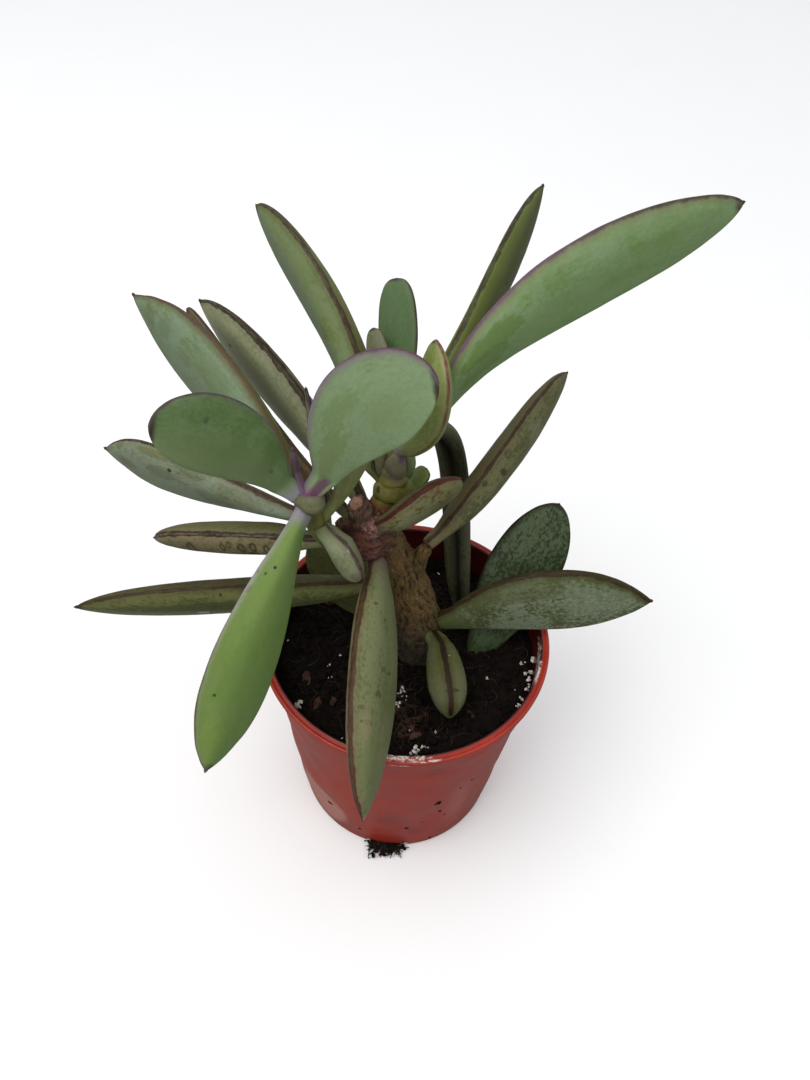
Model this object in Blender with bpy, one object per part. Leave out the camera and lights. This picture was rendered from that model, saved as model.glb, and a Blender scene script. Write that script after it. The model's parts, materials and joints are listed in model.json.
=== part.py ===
"""A potted senecio: a thin plastic nursery pot, its soil, a barked trunk with two green shoots, and
thick upright leaves, each a solid of its own. Metres, +Z up, the pot's axis on Z and its foot at z = 0.
The viewer of the reference side stands at -Y."""

import math
from dataclasses import dataclass

import bmesh
import bpy
from mathutils import Matrix, Vector, noise

MM = 0.001

# The gap left between two solids that touch on the real plant
SEAT_GAP = 0.35 * MM

# Pot: an 85 mm nursery pot, 80 mm tall
RIM_RADIUS = 42.5 * MM
POT_HEIGHT = 80 * MM
FOOT_RADIUS = 34.2 * MM
WALL = 1.1 * MM
COLLAR_HEIGHT = 13 * MM
COLLAR_STEP = 0.7 * MM
LIP_WIDTH = 2.6 * MM
LIP_DEPTH = 1.8 * MM
FLOOR_RISE = 2.2 * MM
FOOT_WIDTH = 4.5 * MM
PAD_RADIUS = 6 * MM
CHAMFER = 1.2 * MM
POT_SIDES = 48
DRAIN_RADIUS = 3.0 * MM
DRAIN_CIRCLE = 20 * MM
DRAIN_COUNT = 4
NOTCH_WIDTH = 14 * MM
NOTCH_HEIGHT = 2.4 * MM
NOTCH_X = -1.3 * MM

# Soil: its level at the pot's axis, and how far it rises towards the front right
SOIL_LEVEL = 70.5 * MM
SOIL_TILT_X = 0.035
SOIL_TILT_Y = -0.05
SOIL_LUMP = 1.0 * MM
SOIL_RINGS = 8
SOIL_SIDES = 40
LEAF_HOLE_RADIUS = 5.6 * MM

# Root tuft: its outline on the ground, in millimetres, from inside the pot out and back, and its height
TUFT_OUTLINE = (
    (-4.5, -30.0),
    (3.5, -30.0),
    (5.0, -34.2),
    (3.2, -36.6),
    (1.6, -36.0),
    (0.0, -37.0),
    (-1.8, -36.6),
    (-3.2, -38.2),
    (-6.0, -38.8),
    (-5.6, -37.4),
    (-4.0, -36.4),
    (-5.2, -35.6),
    (-7.6, -35.2),
    (-7.0, -33.4),
)
TUFT_MIDDLE = (-1.5, -33.5)
TUFT_LOW = 0.35 * MM
TUFT_HEIGHT = 1.6 * MM

# Stems: sides of a stem's ring, and stations along it
STEM_SIDES = 12
BARK_RELIEF = 0.03

# Leaves: points on half of a blade's section, and the stations along it, as shares of its length
LEAF_STATIONS = (0.0, 0.07, 0.17, 0.3, 0.44, 0.58, 0.7, 0.8, 0.88, 0.945, 0.985)
SECTION_SHARES = (-1.0, -0.55, 0.1, 0.62, 0.92)
EDGE_HALF = 0.45 * MM
STALK_HALF_WIDTH = 2.1 * MM
STALK_HALF_THICK = 1.5 * MM

# Leaf finishes: the name, the colour and the roughness
YOUNG_LEAF = ("young_leaf", (0.2, 0.3, 0.15), 0.5)
OLD_LEAF = ("old_leaf", (0.16, 0.19, 0.11), 0.55)
BRIGHT_LEAF = ("bright_leaf", (0.3, 0.43, 0.11), 0.4)


@dataclass(frozen=True)
class Stem:
    """A stem as points on its axis, in millimetres, each with the stem's radius there."""

    points: tuple
    radii: tuple
    bark: bool = False

    def axis(self, share):
        """The place, the direction and the radius at a share of the way along the stem."""
        last = len(self.points) - 1
        at = min(max(share, 0.0), 1.0) * last
        i = min(int(at), last - 1)
        t = at - i
        knots = [Vector(self.points[min(max(k, 0), last)]) for k in range(i - 1, i + 3)]
        before, start, end, after = knots
        place = 0.5 * (
            2 * start
            + (end - before) * t
            + (2 * before - 5 * start + 4 * end - after) * t * t
            + (3 * start - before - 3 * end + after) * t ** 3
        )
        slope = 0.5 * (
            (end - before)
            + 2 * (2 * before - 5 * start + 4 * end - after) * t
            + 3 * (3 * start - before - 3 * end + after) * t * t
        )
        radius = self.radii[i] + (self.radii[i + 1] - self.radii[i]) * t
        return place * MM, slope.normalized(), radius * MM


TRUNK = Stem(
    points=(
        (4, 1, 58), (4, 1, 70), (3, 5, 82), (-1, 7, 96), (-6.7, 6, 109), (-10.6, 4, 118), (-12.3, 4, 121),
    ),
    radii=(7.0, 7.4, 6.8, 5.7, 5.9, 6.4, 4.6),
    bark=True,
)
STUB = Stem(points=((-11.5, 4, 117), (-13.5, 4, 123), (-14.5, 4, 128)), radii=(3.4, 3.1, 2.8), bark=True)
FORK = Stem(points=((0, 7, 96), (2, 6, 105), (3.4, 5, 112)), radii=(3.9, 2.9, 2.6), bark=True)
SHOOT_LEFT = Stem(
    points=((-17.5, 0.8, 117), (-20, -2, 120), (-23, -4, 126), (-25, -5, 134), (-26, -6, 140)),
    radii=(2.8, 2.6, 2.5, 2.7, 3.0),
)
SHOOT_BACK = Stem(
    points=((-8.1, 7.9, 123.8), (-6, 9.5, 129), (-6, 10, 135), (-5, 12, 141), (-3, 13.5, 149)),
    radii=(4.0, 3.9, 3.5, 3.3, 2.5),
)
GROUND = Stem(points=((19, -3, 60), (19, -3, 64), (19, -3, 72)), radii=(0, 0, 0))


@dataclass(frozen=True)
class Leaf:
    """One leaf, in millimetres and degrees.

    It grows from a share of the way along its stem to its tip. Seat is the side of the stem that it grows
    from, as an angle seen from above, where that isn't the side that faces the tip. Rise and drift move
    the leaf's middle upward and sideways off the straight line to its tip, and early is how much of that
    comes near the stalk. Its blade stands on edge, and roll leans the upper edge over about its length.
    Keel is how full the blade's back is, from 0, sharp, to 1, round. Shoulder is how soon the stalk widens,
    and point how blunt the tip is: both small for a full leaf.
    """

    name: str
    stem: Stem
    share: float
    tip: tuple
    width: float
    thick: float
    roll: float = 0.0
    seat: float | None = None
    rise: float = 0.0
    drift: float = 0.0
    early: float = 0.4
    widest: float = 0.62
    keel: float = 0.5
    shoulder: float = 1.25
    point: float = 0.8
    finish: tuple = YOUNG_LEAF

    def root(self):
        """Where the stalk starts: beside the stem and just clear of it, or in its hole in the soil."""
        place, along, radius = self.stem.axis(self.share)
        if radius == 0:
            return place
        if self.stem.bark:
            radius *= 1 + BARK_RELIEF
        chord, upward, sideways = self.directions(place)
        bend = (upward * self.rise + sideways * self.drift) * MM
        heading = (chord + bend * 4 * (1 + self.early)).normalized()
        outward = heading
        if self.seat is not None:
            angle = math.radians(self.seat)
            outward = Vector((math.cos(angle), math.sin(angle), 0))
        outward = (outward - along * outward.dot(along)).normalized()
        edge = Matrix.Rotation(math.radians(self.roll), 3, chord.normalized()) @ upward
        edge = (edge - heading * edge.dot(heading)).normalized()
        face = heading.cross(edge)
        stalk = math.hypot(STALK_HALF_WIDTH * edge.dot(outward), STALK_HALF_THICK * face.dot(outward))
        return place + outward * (radius + stalk + SEAT_GAP)

    def directions(self, start):
        """The straight line from a start to the tip, and the upward and sideways directions across it."""
        chord = Vector(self.tip) * MM - start
        forward = chord.normalized()
        upward = (Vector((0, 0, 1)) - forward * forward.z).normalized()
        return chord, upward, forward.cross(upward)

    def frame(self):
        """The root, and the directions from it."""
        root = self.root()
        return root, *self.directions(root)

    def spine(self, share):
        """The middle of the blade at a share of its length, with its direction there."""
        root, chord, upward, sideways = self.frame()
        bend = (upward * self.rise + sideways * self.drift) * MM
        u = share
        lean = 1 + self.early * (1 - 2 * u)
        place = root + chord * u + bend * (4 * u * (1 - u) * lean)
        slope = chord + bend * 4 * ((1 - 2 * u) * lean - 2 * self.early * u * (1 - u))
        return place, slope.normalized()

    def blade(self, share):
        """The place, and the directions towards the upper edge and the face, at a share of the length."""
        place, along = self.spine(share)
        _, chord, upward, _ = self.frame()
        upward = Matrix.Rotation(math.radians(self.roll), 3, chord.normalized()) @ upward
        upward = (upward - along * upward.dot(along)).normalized()
        return place, upward, along.cross(upward)

    def half_width(self, share):
        """Half the blade's width: it grows from the stalk to its widest place, and closes to a point."""
        full = self.width * MM / 2
        if share < self.widest:
            grown = math.sin(math.pi / 2 * share / self.widest) ** self.shoulder
            return STALK_HALF_WIDTH + (full - STALK_HALF_WIDTH) * grown
        closing = (share - self.widest) / (1 - self.widest)
        return full * (1 - closing ** 2.2) ** self.point

    def half_thick(self, share):
        """Half the blade's thickness, which thins out towards the tip."""
        full = self.thick * MM / 2
        if share < 0.3:
            return STALK_HALF_THICK + (full - STALK_HALF_THICK) * math.sin(math.pi / 2 * share / 0.3)
        return max(full * (1 - ((share - 0.3) / 0.7) ** 3) ** 0.7, EDGE_HALF)

    def section(self, share):
        """The blade's outline at a share of its length, as places round it."""
        place, upward, sideways = self.blade(share)
        wide, thick = self.half_width(share), self.half_thick(share)
        fullest = 0.1 + 0.35 * self.keel
        ring = []
        for side in (1, -1):
            shares = SECTION_SHARES if side == 1 else reversed(SECTION_SHARES)
            for across in shares:
                if across > fullest:
                    fall = (across - fullest) / (1 - fullest)
                    body = (1 - fall ** (1.4 + 0.9 * self.keel)) ** 0.75
                else:
                    body = 1 - ((fullest - across) / (1 + fullest)) ** 1.7
                half = min(EDGE_HALF, thick) + max(thick - EDGE_HALF, 0) * body
                ring.append(place + upward * (wide * across) + sideways * (side * half))
        ring.insert(len(SECTION_SHARES), place + upward * wide)
        return ring

    def rings(self):
        """The blade's sections from stalk to tip."""
        return [self.section(share) for share in LEAF_STATIONS]

    def end(self):
        """The tip's own place."""
        return self.spine(1.0)[0]


LEAVES = (
    # The young rosette at the left shoot's head
    Leaf(
        "leaf_left_round", SHOOT_LEFT, 0.97, tip=(-52, -22, 173), width=17, thick=3.6,
        seat=165, roll=15, rise=5.1, early=0.05, widest=0.65, keel=0.1, shoulder=1.15, point=0.5,
    ),
    Leaf(
        "leaf_centre_broad", SHOOT_LEFT, 0.99, tip=(3, -5, 175), width=21.5, thick=3.6,
        roll=-22, rise=7.15, early=-0.15, widest=0.67, keel=0.1, shoulder=1.1, point=0.52,
    ),
    Leaf(
        "leaf_front_bright", SHOOT_LEFT, 0.84, tip=(-45, -55, 95), width=18.3, thick=4.4,
        roll=35, rise=1, keel=0.2, finish=BRIGHT_LEAF,
    ),
    Leaf(
        "leaf_under_centre", SHOOT_LEFT, 0.6, tip=(-13, 4.6, 147), width=4.4, thick=2.4,
        roll=-20, keel=0.2,
    ),
    Leaf(
        "leaf_left_lower", SHOOT_LEFT, 0.62, tip=(-85, 21, 125), width=17.2, thick=6,
        roll=-3, rise=-0.5, widest=0.72, shoulder=1.7, point=1.0, finish=OLD_LEAF,
    ),
    Leaf(
        "leaf_small_inner", SHOOT_LEFT, 0.6, tip=(-13.6, -12, 117.4), width=12, thick=7,
        seat=-30, roll=12, keel=0.6, widest=0.66, point=0.42,
    ),
    Leaf(
        "leaf_upper_left", SHOOT_LEFT, 0.75, tip=(-81, 54, 152), width=22, thick=8,
        roll=9, rise=4.8, early=0.8, widest=0.56, point=1.0,
    ),
    Leaf(
        "leaf_spike", SHOOT_LEFT, 0.42, tip=(-29, 21, 150), width=8, thick=2.6,
    ),
    Leaf(
        "leaf_middle_left", SHOOT_LEFT, 0.28, tip=(-73, 10, 102), width=18, thick=8.8,
        roll=-37, keel=0.9, finish=OLD_LEAF,
    ),
    Leaf(
        "leaf_bud", SHOOT_LEFT, 1.0, tip=(-29, -1, 150), width=3.6, thick=2,
        seat=120, keel=0.3,
    ),
    # Old leaves on the trunk
    Leaf(
        "leaf_behind_left", TRUNK, 0.78, tip=(-67, 55, 148), width=10, thick=4,
        drift=-3.2, keel=0.4, point=0.4, finish=OLD_LEAF,
    ),
    Leaf(
        "leaf_grey_left", TRUNK, 0.93, tip=(-66, 64, 145), width=20.5, thick=7.6,
        seat=108, rise=2.6, drift=0.5, keel=0.8, finish=OLD_LEAF,
    ),
    Leaf(
        "leaf_long_left", TRUNK, 0.52, tip=(-89, -13, 98), width=21, thick=8.6,
        roll=-19, rise=-2.2, keel=0.8, finish=OLD_LEAF,
    ),
    Leaf(
        "leaf_low_left", TRUNK, 0.3, tip=(-30, 23, 92), width=17, thick=4,
        roll=50, drift=-1.5, shoulder=0.9, point=0.5, finish=OLD_LEAF,
    ),
    Leaf(
        "leaf_front", TRUNK, 0.74, tip=(-7, -61, 88), width=23, thick=8.2,
        roll=27, drift=-0.9, widest=0.47, keel=0.8, shoulder=0.72, point=1.0, finish=OLD_LEAF,
    ),
    Leaf(
        "leaf_small_right", TRUNK, 0.93, tip=(10.8, 6, 137.8), width=15.4, thick=6.6,
        seat=-30, roll=21, drift=0.6, keel=0.6, shoulder=0.7, point=0.6, finish=OLD_LEAF,
    ),
    Leaf(
        "leaf_low_right", TRUNK, 0.3, tip=(69, 5, 96), width=19.5, thick=6,
        roll=-21, rise=5.6, widest=0.55, keel=0.7, shoulder=0.8, point=0.9, finish=OLD_LEAF,
    ),
    Leaf(
        "leaf_low_front", TRUNK, 0.27, tip=(14, -26, 78), width=13, thick=12,
        seat=-45, keel=0.9, widest=0.62, shoulder=0.7, point=0.34, finish=OLD_LEAF,
    ),
    Leaf(
        "leaf_right", FORK, 0.95, tip=(43, 65, 128), width=21, thick=9,
        roll=4, drift=2, keel=0.8, finish=OLD_LEAF,
    ),
    Leaf(
        "leaf_right_broad", GROUND, 0.4, tip=(41, 25, 112), width=21.5, thick=4,
        roll=-60, keel=0.3, shoulder=1.5, point=0.6, finish=OLD_LEAF,
    ),
    # The rosette on the back shoot
    Leaf(
        "leaf_back_left", SHOOT_BACK, 0.3, tip=(-46, 61, 176), width=23, thick=8,
        seat=190, roll=-4, rise=6, drift=4.4, widest=0.66, keel=0.7, point=0.65,
    ),
    Leaf(
        "leaf_back_upright", SHOOT_BACK, 0.98, tip=(-8.4, 38, 172), width=10, thick=3.2,
        roll=66, keel=0.2, shoulder=1.4, point=0.34,
    ),
    Leaf(
        "leaf_back_small", SHOOT_BACK, 0.95, tip=(-13, 27, 165), width=6.2, thick=2.6,
        seat=200, roll=50, keel=0.3, point=0.4,
    ),
    Leaf(
        "leaf_spoon", SHOOT_BACK, 0.78, tip=(2, 14, 172), width=17, thick=6,
        seat=-95, roll=68, rise=0.2, drift=5, keel=0.6, shoulder=2.2, point=0.7,
    ),
    Leaf(
        "leaf_long_right", SHOOT_BACK, 0.99, tip=(71, 50, 190.6), width=17.6, thick=5,
        seat=0, roll=-17, rise=11.2, early=0.46, widest=0.55, keel=0.3, shoulder=1.4,
    ),
    Leaf(
        "leaf_back_right", SHOOT_BACK, 0.95, tip=(28, 79, 178), width=12.8, thick=5.2,
        seat=60, roll=-12, rise=2, drift=2.8, keel=0.4,
    ),
    Leaf(
        "leaf_drooping", SHOOT_BACK, 0.8, tip=(17, 14, 73), width=8.6, thick=6,
        seat=50, roll=0, rise=4.8, drift=-15, early=0.9, widest=0.5, keel=0.3, shoulder=0.4, point=0.3,
        finish=OLD_LEAF,
    ),
    Leaf(
        "leaf_round_back", SHOOT_BACK, 0.15, tip=(2.4, 17, 129.8), width=9.5, thick=3,
        roll=60, keel=0.3, point=0.35,
    ),
)


def clear_scene():
    """Removes whatever the scene holds."""
    for obj in list(bpy.data.objects):
        bpy.data.objects.remove(obj, do_unlink=True)


def material(name, colour, roughness):
    """A Principled material of one colour, made once for each name."""
    found = bpy.data.materials.get(name)
    if found:
        return found
    made = bpy.data.materials.new(name)
    made.use_nodes = True
    shader = made.node_tree.nodes["Principled BSDF"]
    shader.inputs["Base Color"].default_value = (*colour, 1.0)
    shader.inputs["Roughness"].default_value = roughness
    shader.inputs["Metallic"].default_value = 0.0
    return made


def object_from(name, mesh_builder, finish):
    """A named object of one closed mesh, its faces turned out, with its finish."""
    mesh_builder.normal_update()
    bmesh.ops.recalc_face_normals(mesh_builder, faces=mesh_builder.faces)
    mesh = bpy.data.meshes.new(name)
    mesh_builder.to_mesh(mesh)
    mesh_builder.free()
    mesh.shade_smooth()
    mesh.set_sharp_from_angle(angle=math.radians(40))
    obj = bpy.data.objects.new(name, mesh)
    bpy.context.scene.collection.objects.link(obj)
    if finish:
        mesh.materials.append(finish)
    return obj


def loft(rings, end=None):
    """A closed mesh through rings of places, flat at its start, and flat or pointed at its end."""
    builder = bmesh.new()
    loops = [[builder.verts.new(place) for place in ring] for ring in rings]
    count = len(loops[0])
    for lower, upper in zip(loops, loops[1:]):
        for k in range(count):
            n = (k + 1) % count
            builder.faces.new((lower[k], lower[n], upper[n], upper[k]))
    builder.faces.new(reversed(loops[0]))
    if end is None:
        builder.faces.new(loops[-1])
    else:
        point = builder.verts.new(end)
        for k in range(count):
            builder.faces.new((loops[-1][k], loops[-1][(k + 1) % count], point))
    bmesh.ops.triangulate(builder, faces=builder.faces)
    return builder


def stem_rings(stem, stations, swell=0.0):
    """Rings round a stem's axis. Bark is knobbly by a formula, and swell widens the whole stem."""
    rings = []
    across = None
    for i in range(stations):
        share = i / (stations - 1)
        place, along, radius = stem.axis(share)
        if across is None:
            across = along.orthogonal().normalized()
        across = (across - along * across.dot(along)).normalized()
        ring = []
        for k in range(STEM_SIDES):
            angle = 2 * math.pi * k / STEM_SIDES
            outward = Matrix.Rotation(angle, 3, along) @ across
            relief = BARK_RELIEF if stem.bark else 0.0
            rough = relief * math.sin(3 * angle + 9 * share) * math.cos(14 * share)
            ring.append(place + outward * (radius * (1 + rough) + swell))
        rings.append(ring)
    return rings


def join_and_drop(target, helpers, operation):
    """Applies one Boolean of a collection of helpers to the target, and removes the helpers."""
    group = bpy.data.collections.new(f"{target.name}_helpers")
    bpy.context.scene.collection.children.link(group)
    for helper in helpers:
        bpy.context.scene.collection.objects.unlink(helper)
        group.objects.link(helper)
    modifier = target.modifiers.new("Join" if operation == "UNION" else "Cut", "BOOLEAN")
    modifier.operation = operation
    modifier.solver = "EXACT"
    modifier.operand_type = "COLLECTION"
    modifier.collection = group
    bpy.context.view_layer.objects.active = target
    bpy.ops.object.modifier_apply(modifier=modifier.name)
    for helper in helpers:
        bpy.data.objects.remove(helper, do_unlink=True)
    bpy.data.collections.remove(group)


def wall_radius(height):
    """The pot's outer radius at a height: a straight taper, with the collar standing a step out."""
    body_top = RIM_RADIUS - LIP_WIDTH / 2
    taper = FOOT_RADIUS + (body_top - FOOT_RADIUS) * height / POT_HEIGHT
    return taper - (COLLAR_STEP if height < POT_HEIGHT - COLLAR_HEIGHT else 0.0)


def pot_profile():
    """The pot's section as (radius, height) places, from under its middle, up outside, and down inside.

    A pad under the middle and a ring under the wall carry it."""
    collar = POT_HEIGHT - COLLAR_HEIGHT
    lip_bottom = POT_HEIGHT - LIP_DEPTH
    inner = RIM_RADIUS - LIP_WIDTH
    return [
        (0.0, 0.0),
        (PAD_RADIUS, 0.0),
        (PAD_RADIUS + CHAMFER, FLOOR_RISE),
        (FOOT_RADIUS - FOOT_WIDTH, FLOOR_RISE),
        (FOOT_RADIUS - FOOT_WIDTH + CHAMFER, 0.0),
        (wall_radius(0) - 0.5 * MM, 0.0),
        (wall_radius(0.6 * MM), 0.6 * MM),
        (wall_radius(collar - 1 * MM), collar - 1 * MM),
        (wall_radius(collar + 0.6 * MM), collar + 0.6 * MM),
        (wall_radius(lip_bottom - 0.8 * MM), lip_bottom - 0.8 * MM),
        (RIM_RADIUS - 0.2 * MM, lip_bottom),
        (RIM_RADIUS, POT_HEIGHT - 1.0 * MM),
        (RIM_RADIUS - 0.7 * MM, POT_HEIGHT - 0.3 * MM),
        (RIM_RADIUS - 1.3 * MM, POT_HEIGHT - 0.7 * MM),
        (inner + 0.6 * MM, POT_HEIGHT),
        (inner, POT_HEIGHT - 0.6 * MM),
        (wall_radius(collar + 0.6 * MM) - WALL, collar + 0.6 * MM),
        (wall_radius(collar - 1 * MM) - WALL, collar - 1 * MM),
        (wall_radius(3 * MM) - WALL - 1 * MM, FLOOR_RISE + WALL),
        (0.0, FLOOR_RISE + WALL),
    ]


def circle(builder, radius, height, sides, turn=0.0):
    """New points of a level circle round Z."""
    angles = [2 * math.pi * (k + turn) / sides for k in range(sides)]
    return [builder.verts.new((radius * math.cos(a), radius * math.sin(a), height)) for a in angles]


def turned(profile, sides):
    """A closed mesh turned round Z from a profile that starts and ends on the axis."""
    builder = bmesh.new()
    bottom = builder.verts.new((0, 0, profile[0][1]))
    top = builder.verts.new((0, 0, profile[-1][1]))
    loops = [circle(builder, radius, height, sides) for radius, height in profile[1:-1]]
    for k in range(sides):
        n = (k + 1) % sides
        builder.faces.new((bottom, loops[0][n], loops[0][k]))
        builder.faces.new((top, loops[-1][k], loops[-1][n]))
        for lower, upper in zip(loops, loops[1:]):
            builder.faces.new((lower[k], lower[n], upper[n], upper[k]))
    return builder


def cylinder(name, radius, low, high, sides=16):
    """A helper cylinder between two places."""
    along = (high - low).normalized()
    across = along.orthogonal().normalized()
    rings = []
    for place in (low, high):
        turns = [Matrix.Rotation(2 * math.pi * k / sides, 3, along) @ across for k in range(sides)]
        rings.append([place + turn * radius for turn in turns])
    return object_from(name, loft(rings), None)


def make_pot():
    """The nursery pot, with its drain holes and the notch in its foot that the roots grow through."""
    finish = material("terracotta_plastic", (0.42, 0.09, 0.05), 0.38)
    pot = object_from("pot", turned(pot_profile(), POT_SIDES), finish)
    cutters = []
    for k in range(DRAIN_COUNT):
        angle = math.pi / 4 + 2 * math.pi * k / DRAIN_COUNT
        middle = Vector((DRAIN_CIRCLE * math.cos(angle), DRAIN_CIRCLE * math.sin(angle), FLOOR_RISE))
        reach = Vector((0, 0, 3 * WALL))
        cutters.append(cylinder(f"drain_cutter_{k}", DRAIN_RADIUS, middle - reach, middle + reach))
    builder = bmesh.new()
    bmesh.ops.create_cube(builder, size=1.0)
    cutter = object_from("notch_cutter", builder, None)
    cutter.scale = (NOTCH_WIDTH, 2.2 * FOOT_WIDTH, 2 * NOTCH_HEIGHT)
    cutter.location = (NOTCH_X, -FOOT_RADIUS + FOOT_WIDTH / 2, 0)
    bpy.context.view_layer.update()
    cutter.data.transform(cutter.matrix_world)
    cutter.matrix_world = Matrix.Identity(4)
    join_and_drop(pot, [*cutters, cutter], "DIFFERENCE")
    return pot


def soil_height(x, y):
    """The soil's surface: a gentle tilt with lumps."""
    tilt = SOIL_TILT_X * x + SOIL_TILT_Y * y
    lump = noise.noise(Vector((x, y, 0.02)) / (9 * MM)) + 0.5 * noise.noise(Vector((x, y, 0.3)) / (4 * MM))
    return SOIL_LEVEL + tilt + SOIL_LUMP * lump


def make_soil():
    """The soil that fills the pot, with plain holes for the trunk and for the leaf that stands in it."""
    collar = POT_HEIGHT - COLLAR_HEIGHT
    builder = bmesh.new()
    low = FLOOR_RISE + WALL + SEAT_GAP
    waist = collar - 1.2 * MM
    floor_radius = wall_radius(3 * MM) - WALL - 1 * MM - SEAT_GAP
    waist_radius = wall_radius(waist) - WALL - SEAT_GAP
    middle = builder.verts.new((0, 0, soil_height(0, 0)))
    bottom = builder.verts.new((0, 0, low))
    loops = []
    for i in range(1, SOIL_RINGS + 1):
        loop = circle(builder, waist_radius * i / SOIL_RINGS, 0.0, SOIL_SIDES, turn=0.5 * (i % 2))
        for point in loop:
            point.co.z = soil_height(point.co.x, point.co.y)
        loops.append(loop)
    loops.append(circle(builder, waist_radius, waist, SOIL_SIDES))
    loops.append(circle(builder, floor_radius, low, SOIL_SIDES))
    for k in range(SOIL_SIDES):
        n = (k + 1) % SOIL_SIDES
        builder.faces.new((middle, loops[0][k], loops[0][n]))
        builder.faces.new((bottom, loops[-1][n], loops[-1][k]))
        for inner, outer in zip(loops, loops[1:]):
            builder.faces.new((inner[k], outer[k], outer[n], inner[n]))
    bmesh.ops.triangulate(builder, faces=builder.faces)
    soil = object_from("soil", builder, material("potting_soil", (0.02, 0.014, 0.01), 0.95))
    hole_rings = stem_rings(TRUNK, 15, swell=SEAT_GAP)
    hole_rings.insert(0, [place - Vector((0, 0, SEAT_GAP)) for place in hole_rings[0]])
    trunk_hole = object_from("trunk_hole", loft(hole_rings), None)
    root, chord, _, _ = next(leaf for leaf in LEAVES if leaf.stem is GROUND).frame()
    leaf_hole = cylinder("leaf_hole", LEAF_HOLE_RADIUS, root - chord * 0.02, root + chord * 0.35)
    join_and_drop(soil, [trunk_hole, leaf_hole], "DIFFERENCE")
    return soil


def make_trunk():
    """The barked trunk with its cut stub and its right-hand fork, joined in one solid."""
    finish = material("bark", (0.19, 0.09, 0.04), 0.85)
    trunk = object_from("trunk", loft(stem_rings(TRUNK, 19)), finish)
    limbs = [
        object_from("stub_limb", loft(stem_rings(STUB, 6)), finish),
        object_from("fork_limb", loft(stem_rings(FORK, 8)), finish),
    ]
    join_and_drop(trunk, limbs, "UNION")
    return trunk


def make_shoots():
    """The two green shoots, each seated on the trunk."""
    finish = material("green_stem", (0.16, 0.19, 0.04), 0.5)
    for name, stem in (("shoot_left", SHOOT_LEFT), ("shoot_back", SHOOT_BACK)):
        object_from(name, loft(stem_rings(stem, 10)), finish)


def make_leaves():
    """Every leaf as a solid of its own."""
    for leaf in LEAVES:
        object_from(leaf.name, loft(leaf.rings(), leaf.end()), material(*leaf.finish))


def make_root_tuft():
    """The clump of roots that grows out through the notch in the pot's foot."""
    middle = Vector((*TUFT_MIDDLE, 0)) * MM
    rings = []
    for share, width in ((0.0, 0.9), (0.35, 1.0), (0.75, 0.94), (1.0, 0.8)):
        height = Vector((0, 0, TUFT_LOW + TUFT_HEIGHT * share))
        rings.append([middle + (Vector((x, y, 0)) * MM - middle) * width + height for x, y in TUFT_OUTLINE])
    object_from("root_tuft", loft(rings), material("root_fibre", (0.02, 0.014, 0.01), 0.95))


def main():
    """Builds the whole part."""
    clear_scene()
    make_pot()
    make_soil()
    make_trunk()
    make_shoots()
    make_leaves()
    make_root_tuft()


if __name__ == "__main__":
    main()
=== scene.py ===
"""Looks for the potted senecio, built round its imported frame.

The pot, the soil, the trunk, the shoots, the leaves and the roots are each a class that holds its sizes,
builds its meshes and dresses them. Sizes are in millimetres, and turn into metres where a mesh is made.
The pot's axis is Z, its foot is at z = 0, and the viewer stands at -Y.
"""

import json
import logging
import math
from dataclasses import dataclass, replace
from enum import Enum
from typing import ClassVar

import bmesh
import bpy
import numpy as np
from mathutils import Matrix, Vector, noise

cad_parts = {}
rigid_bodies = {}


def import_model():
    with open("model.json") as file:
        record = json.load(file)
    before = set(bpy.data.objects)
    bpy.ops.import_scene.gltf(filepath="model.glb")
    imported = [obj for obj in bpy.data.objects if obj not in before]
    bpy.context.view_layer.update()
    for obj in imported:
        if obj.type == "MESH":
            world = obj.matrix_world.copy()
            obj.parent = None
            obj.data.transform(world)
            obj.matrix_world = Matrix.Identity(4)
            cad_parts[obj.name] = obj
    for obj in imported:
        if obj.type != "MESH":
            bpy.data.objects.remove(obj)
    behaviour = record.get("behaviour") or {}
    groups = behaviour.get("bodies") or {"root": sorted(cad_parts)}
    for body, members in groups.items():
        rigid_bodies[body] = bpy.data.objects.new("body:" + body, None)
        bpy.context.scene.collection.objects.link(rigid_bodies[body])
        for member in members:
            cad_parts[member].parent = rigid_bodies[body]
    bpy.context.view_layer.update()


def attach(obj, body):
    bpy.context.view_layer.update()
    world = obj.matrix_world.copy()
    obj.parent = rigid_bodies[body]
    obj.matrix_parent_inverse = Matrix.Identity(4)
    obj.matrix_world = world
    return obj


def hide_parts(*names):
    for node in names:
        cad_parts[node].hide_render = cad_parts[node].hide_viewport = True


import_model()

MM = 0.001
BODY = "root"
FULL_TURN = 2 * math.pi

log = logging.getLogger("potted_senecio")

Colour = tuple[float, float, float]
Place = tuple[float, float, float]


class Slot(Enum):
    """The record's finishes."""

    POT = "terracotta_plastic"
    SOIL = "potting_soil"
    ROOT = "root_fibre"
    BARK = "bark"
    STEM = "green_stem"
    YOUNG = "young_leaf"
    OLD = "old_leaf"
    BRIGHT = "bright_leaf"


def linear(colour: Colour) -> tuple[float, float, float, float]:
    """Turns a display colour into the linear one that a shader takes.

    Args:
        colour: Red, green and blue, each from 0 to 255.

    Returns:
        Linear red, green and blue, and a full alpha.
    """
    parts = [value / 255 for value in colour]
    made = [v / 12.92 if v <= 0.04045 else ((v + 0.055) / 1.055) ** 2.4 for v in parts]
    return made[0], made[1], made[2], 1.0


def unit(vectors: np.ndarray) -> np.ndarray:
    """Scales each vector to a length of one."""
    return vectors / np.linalg.norm(vectors, axis=-1, keepdims=True)


def smooth_step(values: np.ndarray, low: float, high: float) -> np.ndarray:
    """Eases from 0 at low to 1 at high."""
    share = np.clip((np.asarray(values, float) - low) / (high - low), 0, 1)
    return share * share * (3 - 2 * share)


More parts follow.
